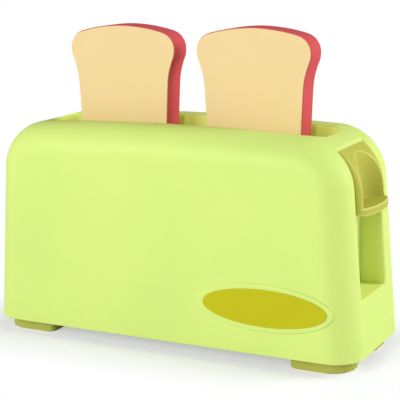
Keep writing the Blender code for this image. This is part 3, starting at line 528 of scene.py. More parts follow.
def mark_painted_highlight(mesh, rounds):
    """Stores how far each corner stands out from those round it, evened out over them, as the mask of a
    painted highlight on the edges.
    """
    bm = form()
    bm.from_mesh(mesh)
    bm.normal_update()
    rings = [[edge.other_vert(vert) for edge in vert.link_edges] for vert in bm.verts]
    levels = []
    for vert, ring in zip(bm.verts, rings):
        middle = sum((other.co for other in ring), Vector()) / len(ring)
        spread = sum((other.co - vert.co).length for other in ring) / len(ring)
        levels.append((vert.co - middle).dot(vert.normal) / spread)
    rings = [[other.index for other in ring] for ring in rings]
    for _ in range(rounds):
        levels = [(level + sum(levels[other] for other in ring)) / (1 + len(ring))
                  for level, ring in zip(levels, rings)]
    bm.free()
    mesh.attributes.new("worn", "FLOAT", "POINT").data.foreach_set("value", levels)
    return mesh


def piece(name, mesh, body, slot, material, *nodes, angle=35, weighted=True):
    """A finished piece on a body, standing for CAD nodes."""
    mesh.name = name
    mesh.materials.clear()
    mesh.materials.append(material)
    mesh.shade_smooth()
    if angle:
        mesh.set_sharp_from_angle(angle=radians(angle))
    item = placed(name, mesh)
    if weighted:
        normals = item.modifiers.new("normals", "WEIGHTED_NORMAL")
        normals.keep_sharp = True
    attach(item, body)
    if nodes:
        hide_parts(*nodes)
    return item


# Form of the casing

class CaseForm:
    """The casing's outer form, which the pieces on it follow."""

    def __init__(self, sizes):
        self.sizes = sizes
        self.lean = atan(sizes.end_draw / (TOP - RIM))
        self.centre_z = TOP - sizes.crown - sizes.end_radius
        self.centre_x = self.half_length(self.centre_z) - sizes.end_radius / cos(self.lean)
        self.slot_half_length = HALF_LENGTH - sizes.slot_from_end
        self.channel_back = HALF_LENGTH - sizes.channel_depth
        self.channel_floor = RIM + sizes.channel_above_rim
        self.chute_end = TOP - sizes.chute_depth

    def half_length(self, z):
        return HALF_LENGTH - self.sizes.end_draw * (z - RIM) / (TOP - RIM)

    def half_depth(self, z):
        return HALF_DEPTH - self.sizes.face_draw * (z - RIM) / (TOP - RIM)

    def skin_height(self, x):
        """Height of the top's middle line."""
        if abs(x) <= self.centre_x:
            return TOP - self.sizes.crown * (x / self.centre_x) ** 2
        return self.centre_z + sqrt(self.sizes.end_radius ** 2 - (abs(x) - self.centre_x) ** 2)

    def front(self, x, z):
        """Y of the front at a place seen from the front."""
        edge = self.sizes.front_edge
        short = max(0, edge - (self.half_length(z) - abs(x)) * cos(self.lean))
        depth = HALF_DEPTH - edge + sqrt(edge ** 2 - short ** 2)
        return -depth * self.half_depth(z) / HALF_DEPTH

    def outline(self, inset, foot):
        """Front view: leaning ends, round upper corners, crowned top, all moved inward."""
        sizes = self.sizes
        radius = sizes.end_radius - inset
        end = pi / 2 - atan(2 * sizes.crown / self.centre_x)
        right = [Vector((self.half_length(foot) - inset / cos(self.lean), foot))]
        right += arc((self.centre_x, self.centre_z), radius, self.lean, end)
        for step in range(1, CROWN_STEPS + 1):
            part = 1 - step / CROWN_STEPS
            right.append(Vector((self.centre_x * part, TOP - inset - sizes.crown * part ** 2)))
        return right + [Vector((-p.x, p.y)) for p in reversed(right[:-1])]

    def plan(self, inset, z):
        """Plan at a height, moved inward: its front corners are the rounder ones."""
        x, y = self.half_length(z) - inset, self.half_depth(z) - inset
        front, back = self.sizes.front_edge - inset, self.sizes.back_edge - inset
        return rounded_outline([(-x, -y, front), (x, -y, front), (x, y, back), (-x, y, back)])

    def solid(self, inset, foot, foot_edge=0):
        """The outer form, moved inward: its front and back edges are rounded all along the arch."""
        depth = HALF_DEPTH - inset
        rings = []
        for side, radius in ((1, self.sizes.back_edge - inset), (-1, self.sizes.front_edge - inset)):
            for inward, short in quarter(radius, EDGE_STEPS)[::-side]:
                level = side * (depth - short)
                rings.append([(x, level, z) for x, z in self.outline(inset + inward, foot)])
        bm = form()
        add_loft(bm, rings)
        if foot_edge:
            under = [face for face in bm.faces if all(abs(vert.co.z - foot) < MERGE for vert in face.verts)]
            base = bmesh.ops.dissolve_faces(bm, faces=under)["region"]
            round_edges(bm, list(base[0].edges), foot_edge, 3)
        for vert in bm.verts:
            vert.co.y *= self.half_depth(vert.co.z) / HALF_DEPTH
        return bm

    def screw_places(self, steel):
        x = POST_X - steel.screw_from_post
        y = self.half_depth(RIM) - self.sizes.wall - 2 * FIT - cup_radius(steel)
        return [(side_x * x, side_y * y) for side_y in (-1, 1) for side_x in (-1, 1)]


def cup_radius(steel):
    return steel.head_radius + FIT + bpy.context.scene.toaster_casing.inner_wall


def cup_ceiling(steel):
    return PLATE_BOTTOM + steel.recess + steel.head_height + FIT


def rim_steps(radius):
    """Pairs of (outward, below the skin) for a rounded rim, from the wall to just short of the skin."""
    return quarter(radius, FILLET_STEPS, RIM_SWEEP)


def slot_cut(case):
    """The toast slot with a rounded upper edge that follows the crowned top."""
    sizes = case.sizes
    x, y = case.slot_half_length, sizes.slot_width / 2

    def ring(outward, height):
        box = rounded_box(-x - outward, x + outward, -y - outward, y + outward, sizes.slot_corner + outward)
        return [(p.x, p.y, height(p.x)) for p in divided(box, CUT_SPACING)]

    count = len(ring(0, lambda _: 0))
    rings = [ring(0, lambda _: case.chute_end - OVERRUN)]
    for outward, below in rim_steps(sizes.slot_edge):
        rings.append(ring(outward, lambda px, low=below: case.skin_height(px) - low))
    rings.append(ring(sizes.slot_edge * RIM_END_SHARE, lambda _: TOP + OVERRUN))
    if any(len(points) != count for points in rings):
        raise RuntimeError("the slot's rings don't match")
    bm = form()
    add_loft(bm, rings)
    return bm


def channel_chain(case, below, outward):
    """One side edge of the channel's opening, from its floor up over the round corner."""
    radius, low = case.sizes.end_radius - below, case.channel_floor - outward
    last = acos((case.channel_back - outward - case.centre_x) / radius)
    foot = (case.half_length(low) - below / cos(case.lean), low)
    return [foot] + arc((case.centre_x, case.centre_z), radius, case.lean, last)


def channel_cut(case):
    """The lever channel with rounded outer edges that follow the casing's end."""
    sizes = case.sizes
    half = sizes.channel_width / 2
    layers = [(below, outward) for outward, below in rim_steps(sizes.channel_edge)]
    layers.append((-OVERRUN, layers[-1][1]))
    bm = form()
    sides = []
    for below, outward in layers:
        chain = channel_chain(case, below, outward)
        sides.append([[bm.verts.new((x, side * (half + outward), z)) for x, z in chain] for side in (-1, 1)])
    for (left, right), (next_left, next_right) in zip(sides, sides[1:]):
        for near, far in ((left, next_left), (right, next_right)):
            for i in range(len(near) - 1):
                bm.faces.new((near[i], near[i + 1], far[i + 1], far[i]))
        for end in (0, -1):
            bm.faces.new((left[end], next_left[end], next_right[end], right[end]))
    left, right = sides[-1]
    for i in range(len(left) - 1):
        bm.faces.new((left[i], left[i + 1], right[i + 1], right[i]))
    left, right = sides[0]
    deep = [bm.verts.new((case.channel_back, side * half, case.channel_floor)) for side in (-1, 1)]
    bm.faces.new([deep[0]] + left)
    bm.faces.new([deep[1]] + right)
    bm.faces.new((deep[0], left[0], right[0], deep[1]))
    bm.faces.new((deep[0], left[-1], right[-1], deep[1]))
    return bm


def oval_on_front(case, centre, half_length, half_width, profile, back):
    """An oval that follows the casing's front.

    Its profile gives (inward, out of the front) from edge to middle.
    """
    rings = []
    for inward, out in profile:
        places = oval(centre, half_length - inward, half_width - inward, OVAL_STEPS)
        rings.append([(x, case.front(x, z) - out, z) for x, z in places])
    bm = form()
    add_loft(bm, [[(x, back, z) for x, _, z in rings[0]]] + rings)
    return bm


def flat_middle(inward, out, half_width):
    """Rings that carry an oval's face from its edge to its middle."""
    rings = []
    while inward < half_width - 1.5 * LAST_RING:
        rings.append((inward, out))
        inward += RING_SPACING
    return rings + [(half_width - LAST_RING, out)]


def relief_pad(case, relief):
    edge, rise = relief.pad_edge, relief.pad_rise
    profile = [(0, 0.0)] + [(inward, rise - short) for inward, short in quarter(edge, PAD_EDGE_STEPS)]
    profile += flat_middle(edge + PAD_FIRST_RING, rise, relief.pad_width / 2)
    centre = (HALF_LENGTH - relief.from_end, RIM + relief.above_rim)
    return oval_on_front(case, centre, relief.pad_length / 2, relief.pad_width / 2, profile,
                         PAD_ROOT - HALF_DEPTH)


def casing_mesh(scene):
    case = CaseForm(scene.toaster_casing)
    sizes, steel, plate, lever = case.sizes, scene.toaster_steel, scene.toaster_plate, scene.toaster_lever
    ceiling = cup_ceiling(steel)
    cup_top = ceiling + plate.skin

    walls, liner, bosses, ribs, bores, slit = [form() for _ in range(6)]
    wall = sizes.inner_wall
    x, y = case.slot_half_length + wall, sizes.slot_width / 2 + wall
    add_prism(walls, rounded_box(-x, x, -y, y, sizes.slot_corner + wall), case.chute_end, TOP + OVERRUN)
    y = sizes.channel_width / 2 + wall
    add_box(liner, case.channel_back - wall, HALF_LENGTH + OVERRUN, -y, y, case.channel_floor - wall,
            TOP + OVERRUN)
    for x, y in case.screw_places(steel):
        add_cylinder(bosses, x, y, sizes.boss_radius, cup_top + FIT, cup_top + sizes.boss_height, BOSS_STEPS)
        outside = (case.half_depth(RIM) + OVERRUN) * (1 if y > 0 else -1)
        add_box(ribs, x - wall / 2, x + wall / 2, *sorted((y, outside)), cup_top + 2 * FIT,
                cup_top + sizes.boss_height - FIT)
        add_cylinder(bores, x, y, steel.shank_radius + FIT, cup_top - OVERRUN,
                     ceiling + steel.shank_length + plate.skin, BORE_STEPS)
    half = sizes.arm_width / 2 + 2 * FIT
    tongue_top = lever_heights(lever)[2]
    add_box(slit, case.channel_back - wall - OVERRUN, case.channel_back + OVERRUN, -half, half,
            tongue_top - lever.tongue_height - TRAVEL - 2 * FIT, tongue_top + 2 * FIT)

    hollow = as_form(combined(case.solid(sizes.wall, RIM - OVERRUN), ("DIFFERENCE", walls),
                              ("DIFFERENCE", liner), ("DIFFERENCE", bosses), ("DIFFERENCE", ribs)))
    return combined(case.solid(0, RIM, sizes.foot_edge), ("UNION", relief_pad(case, scene.toaster_relief)),
                    ("DIFFERENCE", hollow), ("DIFFERENCE", slot_cut(case)), ("DIFFERENCE", channel_cut(case)),
                    ("DIFFERENCE", bores), ("DIFFERENCE", slit))


# Materials

WHITE = (1, 1, 1, 1)
MASK_EDGE = 0.0002
GLOSS = 0.3
GLOW = {"Subsurface Weight": 0.18, "Subsurface Radius": (1.0, 1.0, 0.5), "Subsurface Scale": 0.004}

# Noises: size of the patches in metres, detail, roughness and seed
FLOW = (0.045, 3, 0.45, 1.3)
SPECK = (0.0011, 2, 0.6, 4.1)
RUBBED = (0.014, 4, 0.6, 7.7)
HAIR = (0.9, 2, 0.5, 2.2)
GRAIN = (0.0006, 3, 0.6, 9.0)
LINES = (0.0004, 3, 0.6, 3.0)
BLOOM = (0.004, 3, 0.6, 5.5)
PAPER = (0.02, 3, 0.5, 1.0)

# Stretch and turn of the hairline scuffs, and spots of plating in a metre
HAIR_SCALE = (12, 60, 220)
HAIR_TURN = (0.3, 0.2, 0.5)
SPANGLES = 900.0

# Levels between which a mask rises from 0 to 1
RUBBED_LEVELS = (0.52, 0.78)
SCUFF_LEVELS = (0.66, 0.74)
TONE_LEVELS = (0.3, 0.7)
HIGHLIGHT_LEVELS = (0.012, 0.06)
GLOSS_LEVELS = (0.2, 0.8)
BLOOM_LEVELS = (0.4, 0.75)
SPANGLE_LEVELS = (0.1, 0.6)


class Wire:
    """A value on its way through a material: sums with it add Math or Vector Math nodes."""

    def __init__(self, surface, socket):
        self.surface, self.socket = surface, socket

    def sum(self, operation, first, second):
        wires = [value for value in (first, second) if isinstance(value, Wire)]
        kind = "ShaderNodeVectorMath" if any(w.socket.type == "VECTOR" for w in wires) else "ShaderNodeMath"
        return self.surface.node(kind, {"operation": operation}, {0: first, 1: second})

    def __add__(self, other):
        return self.sum("ADD", self, other)

    def __radd__(self, other):
        return self.sum("ADD", other, self)

    def __sub__(self, other):
        return self.sum("SUBTRACT", self, other)

    def __rsub__(self, other):
        return self.sum("SUBTRACT", other, self)

    def __mul__(self, other):
        return self.sum("MULTIPLY", self, other)

    def __rmul__(self, other):
        return self.sum("MULTIPLY", other, self)


class Nodes:
    """A node tree, and the ways in which nodes are added to it."""

    def __init__(self, tree):
        self.tree = tree

    def node(self, kind, settings=None, values=None, output=0):
        """Any node: its settings first, then the values or wires of its inputs."""
        made = self.tree.nodes.new(kind)
        for key, value in (settings or {}).items():
            setattr(made, key, value)
        for key, value in (values or {}).items():
            self.feed(made.inputs[key], value)
        return Wire(self, made.outputs[output])

    def feed(self, socket, value):
        if isinstance(value, Wire):
            self.tree.links.new(value.socket, socket)
        else:
            socket.default_value = value

    def vector(self, operation, *values, output=0):
        return self.node("ShaderNodeVectorMath", {"operation": operation}, dict(enumerate(values)), output)

    def place(self, kind="Object"):
        return self.node("ShaderNodeTexCoord", output=kind)

    def stretched(self, place, scale, turned=(0, 0, 0)):
        return self.node("ShaderNodeMapping", {}, {"Vector": place, "Scale": scale, "Rotation": turned})

    def noise(self, place, size, detail, rough, seed):
        """Soft noise from 0 to 1 whose patches are about size across."""
        values = {"Vector": place, "W": seed, "Scale": 1 / size, "Detail": detail, "Roughness": rough}
        return self.node("ShaderNodeTexNoise", {"noise_dimensions": "4D"}, values)

    def ramp(self, value, low, high):
        """0 below low, 1 above high."""
        return self.node("ShaderNodeMapRange", {"interpolation_type": "SMOOTHSTEP"},
                         {"Value": value, "From Min": low, "From Max": high})

    def beyond(self, place, low, high):
        """How far a place lies outside a box."""
        past = self.vector("ABSOLUTE", place - (low + high) / 2) - (high - low) / 2
        return self.vector("LENGTH", self.vector("MAXIMUM", past, (0, 0, 0)), output="Value")

    def inside(self, place, low, high, corner):
        """1 inside a box with round corners, falling to 0 just outside it."""
        margin = Vector((corner,) * 3)
        return self.ramp(self.beyond(place, low + margin, high - margin), corner + MASK_EDGE, corner)

    def mix(self, factor, first, second):
        return self.node("ShaderNodeMix", {"data_type": "RGBA"}, {0: factor, 6: first, 7: second}, 2)

    def mix_shaders(self, factor, first, second):
        return self.node("ShaderNodeMixShader", {}, {0: factor, 1: first, 2: second})

    def end(self, output, shader):
        self.feed(self.tree.nodes[output].inputs["Surface"], shader)

    def light(self, kind, strength):
        return self.node(kind, {}, {"Color": WHITE, "Strength": strength})

    def seen(self):
        """1 where the camera looks, also by way of gloss or glass, and 0 for other light."""
        camera, glossy, through = [self.node("ShaderNodeLightPath", output="Is %s Ray" % kind)
                                   for kind in ("Camera", "Glossy", "Transmission")]
        return self.node("ShaderNodeMath", {"operation": "MINIMUM"}, {0: camera + glossy + through, 1: 1.0})


class Surface(Nodes):
    """A material and the nodes that make it."""

    def __init__(self, name):
        self.material = bpy.data.materials.new(name)
        self.material.use_nodes = True
        super().__init__(self.material.node_tree)
        self.shader = self.tree.nodes["Principled BSDF"]

    def set(self, values):
        for key, value in values.items():
            self.feed(self.shader.inputs[key], value)

    def relief(self, height, depth, strength):
        """Bump of a depth in metres that feeds the normal."""
        bump = self.node("ShaderNodeBump", {}, {"Strength": strength, "Distance": depth, "Height": height})
        self.set({"Normal": bump})


def shaded(tone, factor, warmth=0.0):
    """A colour made lighter or darker, and a little warmer."""
    factors = factor * (1 + warmth), factor, factor * (1 - warmth)
    return (*[min(1, level * share) for level, share in zip(tone, factors)], 1)


def moulded_plastic(name, tone, roughness, grain=0.000006, drift=0.025, worn=None, recesses=()):
    """Moulded plastic: colour that drifts, fine tool grain, rubbed patches and hairline scuffs.

    Edges that stand out can take a pale painted highlight. Each recess is a box's low and high corners, the
    radius of its corners and a lighter colour painted inside it as painted light.
    """
    s = Surface(name)
    place = s.place()
    flow, speck = s.noise(place, *FLOW), s.noise(place, *SPECK)
    rubbed = s.ramp(s.noise(place, *RUBBED), *RUBBED_LEVELS)
    scuff = s.ramp(s.noise(s.stretched(place, HAIR_SCALE, HAIR_TURN), *HAIR), *SCUFF_LEVELS) * rubbed
    dark, pale = shaded(tone, 1 - drift, -0.01), shaded(tone, 1 + drift * 0.6, 0.01)
    tint = s.mix(s.ramp(flow, *TONE_LEVELS), dark, pale)
    # Painted highlight: edges that stand out are mixed toward a pale colour, as if they caught the light
    if worn:
        edge = s.node("ShaderNodeAttribute", {"attribute_name": "worn"}, output="Fac")
        tint = s.mix(s.ramp(edge, *HIGHLIGHT_LEVELS) * 0.7, tint, shaded(worn, 1))
    # Painted light: each recess box gets a lighter colour inside it, in place of light
    for low, high, corner, painted_light in recesses:
        tint = s.mix(s.inside(place, Vector(low), Vector(high), corner), tint, shaded(painted_light, 1))
    turned_away = s.node("ShaderNodeLayerWeight", {}, {"Blend": 0.5}, "Facing")
    dullness = s.ramp(flow, *GLOSS_LEVELS) * 0.03 + rubbed * 0.05 + scuff * 0.08 + speck * 0.03
    s.set({"Base Color": s.mix(scuff * 0.10, tint, shaded(tone, 1.12)),
           "Roughness": dullness + (roughness - 0.04), "Specular IOR Level": 0.0,
           "Coat Weight": (1.0 - turned_away) * GLOSS, "Coat Roughness": roughness, **GLOW})
    s.relief(s.noise(place, *GRAIN) * 0.7 + speck * 0.3 - scuff * 0.4, grain, 0.6)
    return s.material


def metal(name, tone, roughness, along, spangle=0.0):
    """Metal: fine drawn or ground lines, a duller bloom in patches, and small bright spots of plating."""
    s = Surface(name)
    place = s.place()
    lines = s.noise(s.stretched(place, along), *LINES)
    bloom = s.ramp(s.noise(place, *BLOOM), *BLOOM_LEVELS)
    cells = s.node("ShaderNodeTexVoronoi", {}, {"Vector": place, "Scale": SPANGLES}, "Distance")
    tint = s.mix(bloom * 0.5, shaded(tone, 1.04), shaded(tone, 0.78, 0.02))
    spots = s.ramp(cells, *SPANGLE_LEVELS) * spangle
    s.set({"Base Color": s.mix(spots, tint, shaded(tone, 1.15)), "Metallic": 1.0,
           "Roughness": lines * 0.10 + bloom * 0.14 + (roughness - 0.05)})
    s.relief(lines, 0.00001, 0.5)
    return s.material


# Pieces

def lever_heights(lever):
    """Shelf bottom, shelf top, tongue top and tongue bottom of the raised lever."""
    low = LEVER_LOW.z
    tongue_bottom = low + lever.boss_wall + FIT
    tongue_top = tongue_bottom + lever.tongue_height
    shelf_top = tongue_top + FIT + lever.boss_wall
    return shelf_top - lever.shelf_thickness, shelf_top, tongue_top, tongue_bottom


def lever_mesh(scene):
    case, lever = CaseForm(scene.toaster_casing), scene.toaster_lever
    bottom, top, tongue_top, tongue_bottom = lever_heights(lever)
    back = LEVER_LOW.x
    half = case.sizes.channel_width / 2 - lever.side_fit
    centre_x, centre_z = case.centre_x + lever.proud, case.centre_z - lever.drop

    def side(inset):
        """Side view: the casing's end moved outward and a little down, then inward by inset."""
        radius = case.sizes.end_radius - inset
        outer = case.half_length(bottom + lever.drop) + lever.proud - inset / cos(case.lean)
        last = acos((back - centre_x) / radius)
        return [(back, bottom), (outer, bottom)] + arc((centre_x, centre_z), radius, case.lean, last)

    layers = [(inward, half - short) for inward, short in quarter(lever.edge, LEVER_EDGE_STEPS)]
    layers = layers[::-1] + [(inset, -level) for inset, level in layers]
    block = form()
    add_loft(block, [[(x, level, z) for x, z in side(inset)] for inset, level in layers])

    inner, y = back + FIT, half - FIT
    lip = case.half_length(bottom) + lever.shelf_proud
    spots = [-1] + [LIP_SPAN_SHARE * (2 * step / ARC_STEPS - 1) for step in range(ARC_STEPS + 1)] + [1]
    front = [(lip + lever.shelf_bow * (1 - spot ** 2), spot * y, 0 if abs(spot) < 1 else lever.shelf_corner)
             for spot in spots]
    outline = rounded_outline([(inner, -y, 0)] + front + [(inner, y, 0)], SMALL_CORNER_STEPS)
    shelf = prism(outline, bottom, top)
    kept = edges_at(shelf, 0, inner)
    rims = edges_at(shelf, 2, bottom) + edges_at(shelf, 2, top)
    round_edges(shelf, [edge for edge in rims if edge not in kept], lever.shelf_edge, SMALL_EDGE_STEPS)
    reach, y = back + lever.tongue_reach + FIT, case.sizes.arm_width / 2 + FIT
    boss, scoop, socket = [form() for _ in range(3)]
    add_box(boss, back, reach + lever.boss_wall, -y - lever.boss_wall, y + lever.boss_wall, LEVER_LOW.z,
            (bottom + top) / 2)
    radius = lever.scoop_radius
    add_cylinder(scoop, back + lever.scoop_web + radius, 0, radius, top, TOP, SCOOP_STEPS)
    add_box(socket, back - OVERRUN, reach, -y, y, tongue_bottom - FIT, tongue_top + FIT)
    mesh = combined(block, ("UNION", shelf), ("UNION", boss), ("DIFFERENCE", scoop), ("DIFFERENCE", socket))
    return mark_painted_highlight(softened(mesh, lever.voxel, LEVER_PASSES), HIGHLIGHT_ROUNDS)


def carriage_mesh(scene):
    case, tray, lever = CaseForm(scene.toaster_casing), scene.toaster_carriage, scene.toaster_lever
    _, _, tongue_top, tongue_bottom = lever_heights(lever)
    low = case.chute_end + tray.above_chute_end
    floor, middle = low + tray.thickness, low + tray.thickness / 2
    fence_top = floor + tray.fence_height
    sleeve = POST_RADIUS + FIT + tray.sleeve_wall
    half = POST_X - sleeve - tray.from_sleeve
    pocket = half - tray.ledge - tray.fence_wall - tray.pocket_divider / 2
    spacing = pocket + tray.pocket_divider
    width = tray.pocket_width / 2
    outer = width + tray.fence_wall + tray.ledge
    sleeve_bottom, sleeve_top = SPRING_HIGH.z + FIT, RING_LOW.z - FIT
    fences, webs, sleeves, pockets, bores = [form() for _ in range(5)]
    wall, corner = tray.fence_wall, tray.pocket_corner
    for side in (-1, 1):
        centre, post = side * spacing / 2, side * POST_X
        x, y = pocket / 2, width
        hollow = rounded_box(centre - x, centre + x, -y, y, corner)
        ring = rounded_box(centre - x - wall, centre + x + wall, -y - wall, y + wall, corner + wall)
        add_prism(fences, ring, middle, fence_top)
        add_prism(pockets, hollow, floor, fence_top + OVERRUN)
        add_box(webs, *sorted((side * (spacing + pocket) / 2, post)), -tray.web / 2, tray.web / 2,
                tongue_bottom, middle)
        add_cylinder(sleeves, post, 0, sleeve, sleeve_bottom, sleeve_top)
        add_cylinder(bores, post, 0, POST_RADIUS + FIT, sleeve_bottom - OVERRUN, sleeve_top + OVERRUN)
    thick, wide = tray.blade_thickness / 2, tray.blade_width / 2
    add_box(webs, -thick, thick, -wide, wide, TRAY_LOW.z, middle)
    shoulder = case.chute_end - tray.arm_below_chute
    neck = case.channel_back - case.sizes.inner_wall - FIT
    tip = LEVER_LOW.x + lever.tongue_reach
    side = [(POST_X, tongue_bottom), (tip, tongue_bottom), (tip, tongue_top), (neck, tongue_top),
            (case.slot_half_length, shoulder), (POST_X, shoulder)]
    arm = prism(side, -case.sizes.arm_width / 2, case.sizes.arm_width / 2, "Y")
    return combined(prism(rounded_box(-half, half, -outer, outer, tray.corner), low, floor),
                    ("UNION", fences), ("UNION", webs), ("UNION", sleeves), ("UNION", arm),
                    ("DIFFERENCE", pockets), ("DIFFERENCE", bores))


def foot_outline(case, plate, side_x, side_y, inset=0):
    """Plan of one foot: its outer corner follows the casing's, its other corners are small."""
    sizes = case.sizes
    x1, y1 = case.half_length(RIM) - plate.foot_set_in, case.half_depth(RIM) - plate.foot_set_in
    x0, y0 = x1 - plate.foot_length + inset, y1 - plate.foot_width + inset
    x1, y1 = x1 - inset, y1 - inset
    small = max(plate.foot_corner - inset, 0)
    outer = max((sizes.front_edge if side_y < 0 else sizes.back_edge) - plate.foot_set_in - inset, small)
    corners = [(side_x * x0, side_y * y0, small), (side_x * x1, side_y * y0, small),
               (side_x * x1, side_y * y1, outer), (side_x * x0, side_y * y1, small)]
    return rounded_outline(corners if side_x * side_y > 0 else corners[::-1], SMALL_CORNER_STEPS)


def base_plate_mesh(scene):
    case, plate, steel = CaseForm(scene.toaster_casing), scene.toaster_plate, scene.toaster_steel
    high, inside, ceiling = PLATE_BOTTOM + plate.thickness, PLATE_BOTTOM + plate.skin, cup_ceiling(steel)
    middle = high - plate.thickness / 2
    skin = plate.skin
    feet, cups, posts, hollows, recesses, holes, ribs = [form() for _ in range(7)]
    for side_x, side_y in ((-1, -1), (1, -1), (-1, 1), (1, 1)):
        add_prism(feet, foot_outline(case, plate, side_x, side_y), 0, middle)
        add_prism(hollows, foot_outline(case, plate, side_x, side_y, skin), skin, high + OVERRUN)
        x = side_x * (case.half_length(RIM) - plate.foot_set_in - plate.foot_length / 2)
        y1 = case.half_depth(RIM) - plate.foot_set_in - skin / 2
        y0 = y1 - plate.foot_width + skin
        add_box(ribs, x - skin / 2, x + skin / 2, *sorted((side_y * y0, side_y * y1)), skin / 2, PLATE_BOTTOM)
    round_edges(feet, edges_at(feet, 2, 0), plate.foot_edge, SMALL_EDGE_STEPS)
    for x, y in case.screw_places(steel):
        add_cylinder(cups, x, y, cup_radius(steel), middle, ceiling + skin)
        add_cylinder(recesses, x, y, steel.head_radius + FIT, PLATE_BOTTOM - OVERRUN, ceiling)
        add_cylinder(holes, x, y, steel.shank_radius + FIT, PLATE_BOTTOM, ceiling + skin + OVERRUN)
    for x in (-POST_X, POST_X):
        add_cylinder(posts, x, 0, plate.socket_radius, middle, high + plate.socket_height)
        add_cylinder(recesses, x, 0, POST_RADIUS + FIT, inside - FIT, high + plate.socket_height + OVERRUN)
    add_cylinder(posts, 0, 0, plate.pad_radius, middle, high + plate.pad_height)
    add_cylinder(recesses, 0, 0, steel.shank_radius + FIT, inside - FIT, high + plate.pad_height + OVERRUN)
    return combined(prism(case.plan(case.sizes.wall + FIT, high), PLATE_BOTTOM, high), ("UNION", feet),
                    ("UNION", cups), ("UNION", posts), ("DIFFERENCE", hollows), ("DIFFERENCE", recesses),
                    ("DIFFERENCE", holes), ("UNION", ribs))


def screw_mesh(steel, reach):
    """A pan-head screw with a cross in its head: head's underside at zero, point downward."""
    shank, head, high, pitch = steel.shank_radius, steel.head_radius, steel.head_height, steel.thread_pitch
    z, neck = steel.tip - reach, shank * NECK_SHARE
    profile = [(AXIS_GAP, -reach), (shank * POINT_SHARE, z)]
    while z < -pitch * LAST_THREAD_SHARE:
        profile += [(shank * across, z + pitch * upward) for across, upward in THREAD_SHARES]
        z += pitch
    profile += [(neck, -SMALL_CHAMFER), (neck, 0), (head - SMALL_CHAMFER, 0), (head, SMALL_CHAMFER)]
    profile += [(head - inward, high - short) for inward, short in quarter(steel.head_edge, HEAD_EDGE_STEPS)]
    profile += [(head * DOME_SHARE, high + SCREW_DOME), (AXIS_GAP, high + 2 * SCREW_DOME)]
    body, cross = form(), form()
    add_turned(body, profile, 0)
    span, wide = steel.cross / 2, steel.cross / CROSS_ARM
    for x, y in ((span, wide / 2), (wide / 2, span)):
        add_loft(cross, [[(side_x * x * scale, side_y * y * scale, z)
                          for side_x, side_y in ((-1, -1), (1, -1), (1, 1), (-1, 1))]
                         for z, scale in ((high - CROSS_DEPTH, 0.55), (high + CROSS_ABOVE, 1.15))])
    return combined(body, ("DIFFERENCE", cross))


def spring_mesh(steel, x):
    """One helix from end to end, its pitch drawn closer toward both ends."""
    low, high = SPRING_LOW.z + steel.spring_wire, SPRING_HIGH.z - steel.spring_wire
    count = steel.spring_curls * CURL_STEPS
    ease = (1 - steel.end_pitch) / (2 * pi)
    curve = bpy.data.curves.new("spring", "CURVE")
    curve.dimensions, curve.use_fill_caps = "3D", True
    curve.bevel_depth, curve.bevel_resolution = steel.spring_wire, 3
    spline = curve.splines.new("POLY")
    spline.points.add(count)
    for i, point in enumerate(spline.points):
        part = i / count
        angle = 2 * pi * steel.spring_curls * part
        point.co = (x + steel.spring_radius * cos(angle), steel.spring_radius * sin(angle),
                    low + (high - low) * (part - ease * sin(2 * pi * part)), 1)
    item = placed("spring_path", curve)
    mesh = evaluated(item)
    bpy.data.objects.remove(item)
    bpy.data.curves.remove(curve)
    return welded(mesh)


def strip_mesh(scene):
    """The catch: a strip folded into a foot and two fingers that lean together and flare at their tips."""
    steel, tray = scene.toaster_steel, scene.toaster_carriage
    pinch = tray.blade_thickness / 2 + FIT + steel.sheet / 2
    foot, low = CLIP_HIGH.x - steel.sheet / 2, CLIP_LOW.z + steel.sheet / 2
    grip = CLIP_HIGH.z - steel.lip_rise
    right = [(foot, low), (foot, low + steel.side_height), (pinch, grip),
             (pinch + steel.lip_flare, grip + steel.lip_rise)]
    corners = [Vector((-x, z)) for x, z in reversed(right)] + [Vector(p) for p in right]
    path = [corners[0]]
    for before, here, after in zip(corners, corners[1:], corners[2:]):
        reach = min(STRIP_BEND, (before - here).length * 0.4, (after - here).length * 0.4)
        start, end = here + (before - here).normalized() * reach, here + (after - here).normalized() * reach
        path += [start.lerp(here, t).lerp(here.lerp(end, t), t) for t in (0, 0.25, 0.5, 0.75, 1)]
    path.append(corners[-1])
    outer, inner = [], []
    for i, point in enumerate(path):
        along = (path[min(i + 1, len(path) - 1)] - path[max(i - 1, 0)]).normalized()
        normal = Vector((along.y, -along.x)) * steel.sheet / 2
        outer.append(point + normal)
        inner.append(point - normal)
    hole = form()
    add_cylinder(hole, 0, 0, steel.shank_radius + FIT, CLIP_LOW.z - FIT, CLIP_LOW.z + steel.sheet + FIT)
    return combined(prism(outer + inner[::-1], CLIP_LOW.y, CLIP_HIGH.y, "Y"), ("DIFFERENCE", hole))


def slice_outline(low, high):
    """Front view of a slice in its box: flat foot, waisted sides, shoulders and a domed crown."""
    half, tall = (high.x - low.x) / 2, high.z - low.z
    side = [Vector((x * half, z * tall)) for x, z in SLICE_SIDE_SHARES]
    path = side + [Vector((0, tall))] + [Vector((-p.x, p.y)) for p in reversed(side)]
    padded = path[:1] + path + path[-1:]
    points = []
    for before, start, end, after in zip(padded, padded[1:], padded[2:], padded[3:]):
        handles = start + (end - before) / 6, end - (after - start) / 6
        points += interpolate_bezier(start, *handles, end, BEZIER_STEPS)[:-1]
    middle = Vector(((low.x + high.x) / 2, low.z))
    return [middle + Vector(point[:2]) for point in points] + [middle + path[-1]]


def slab(outline, front, back, edge):
    """A slab with rounded rims on both faces, made of rings moved inward."""
    rim = quarter(edge, SMALL_EDGE_STEPS)
    rings = [(inward, back - short) for short, inward in rim]
    rings += [(inward, front + short) for short, inward in reversed(rim)]
    bm = form()
    add_loft(bm, [[(p.x, y, p.y) for p in moved_inward(outline, inward)] for inward, y in rings])
    return bm


# Operators

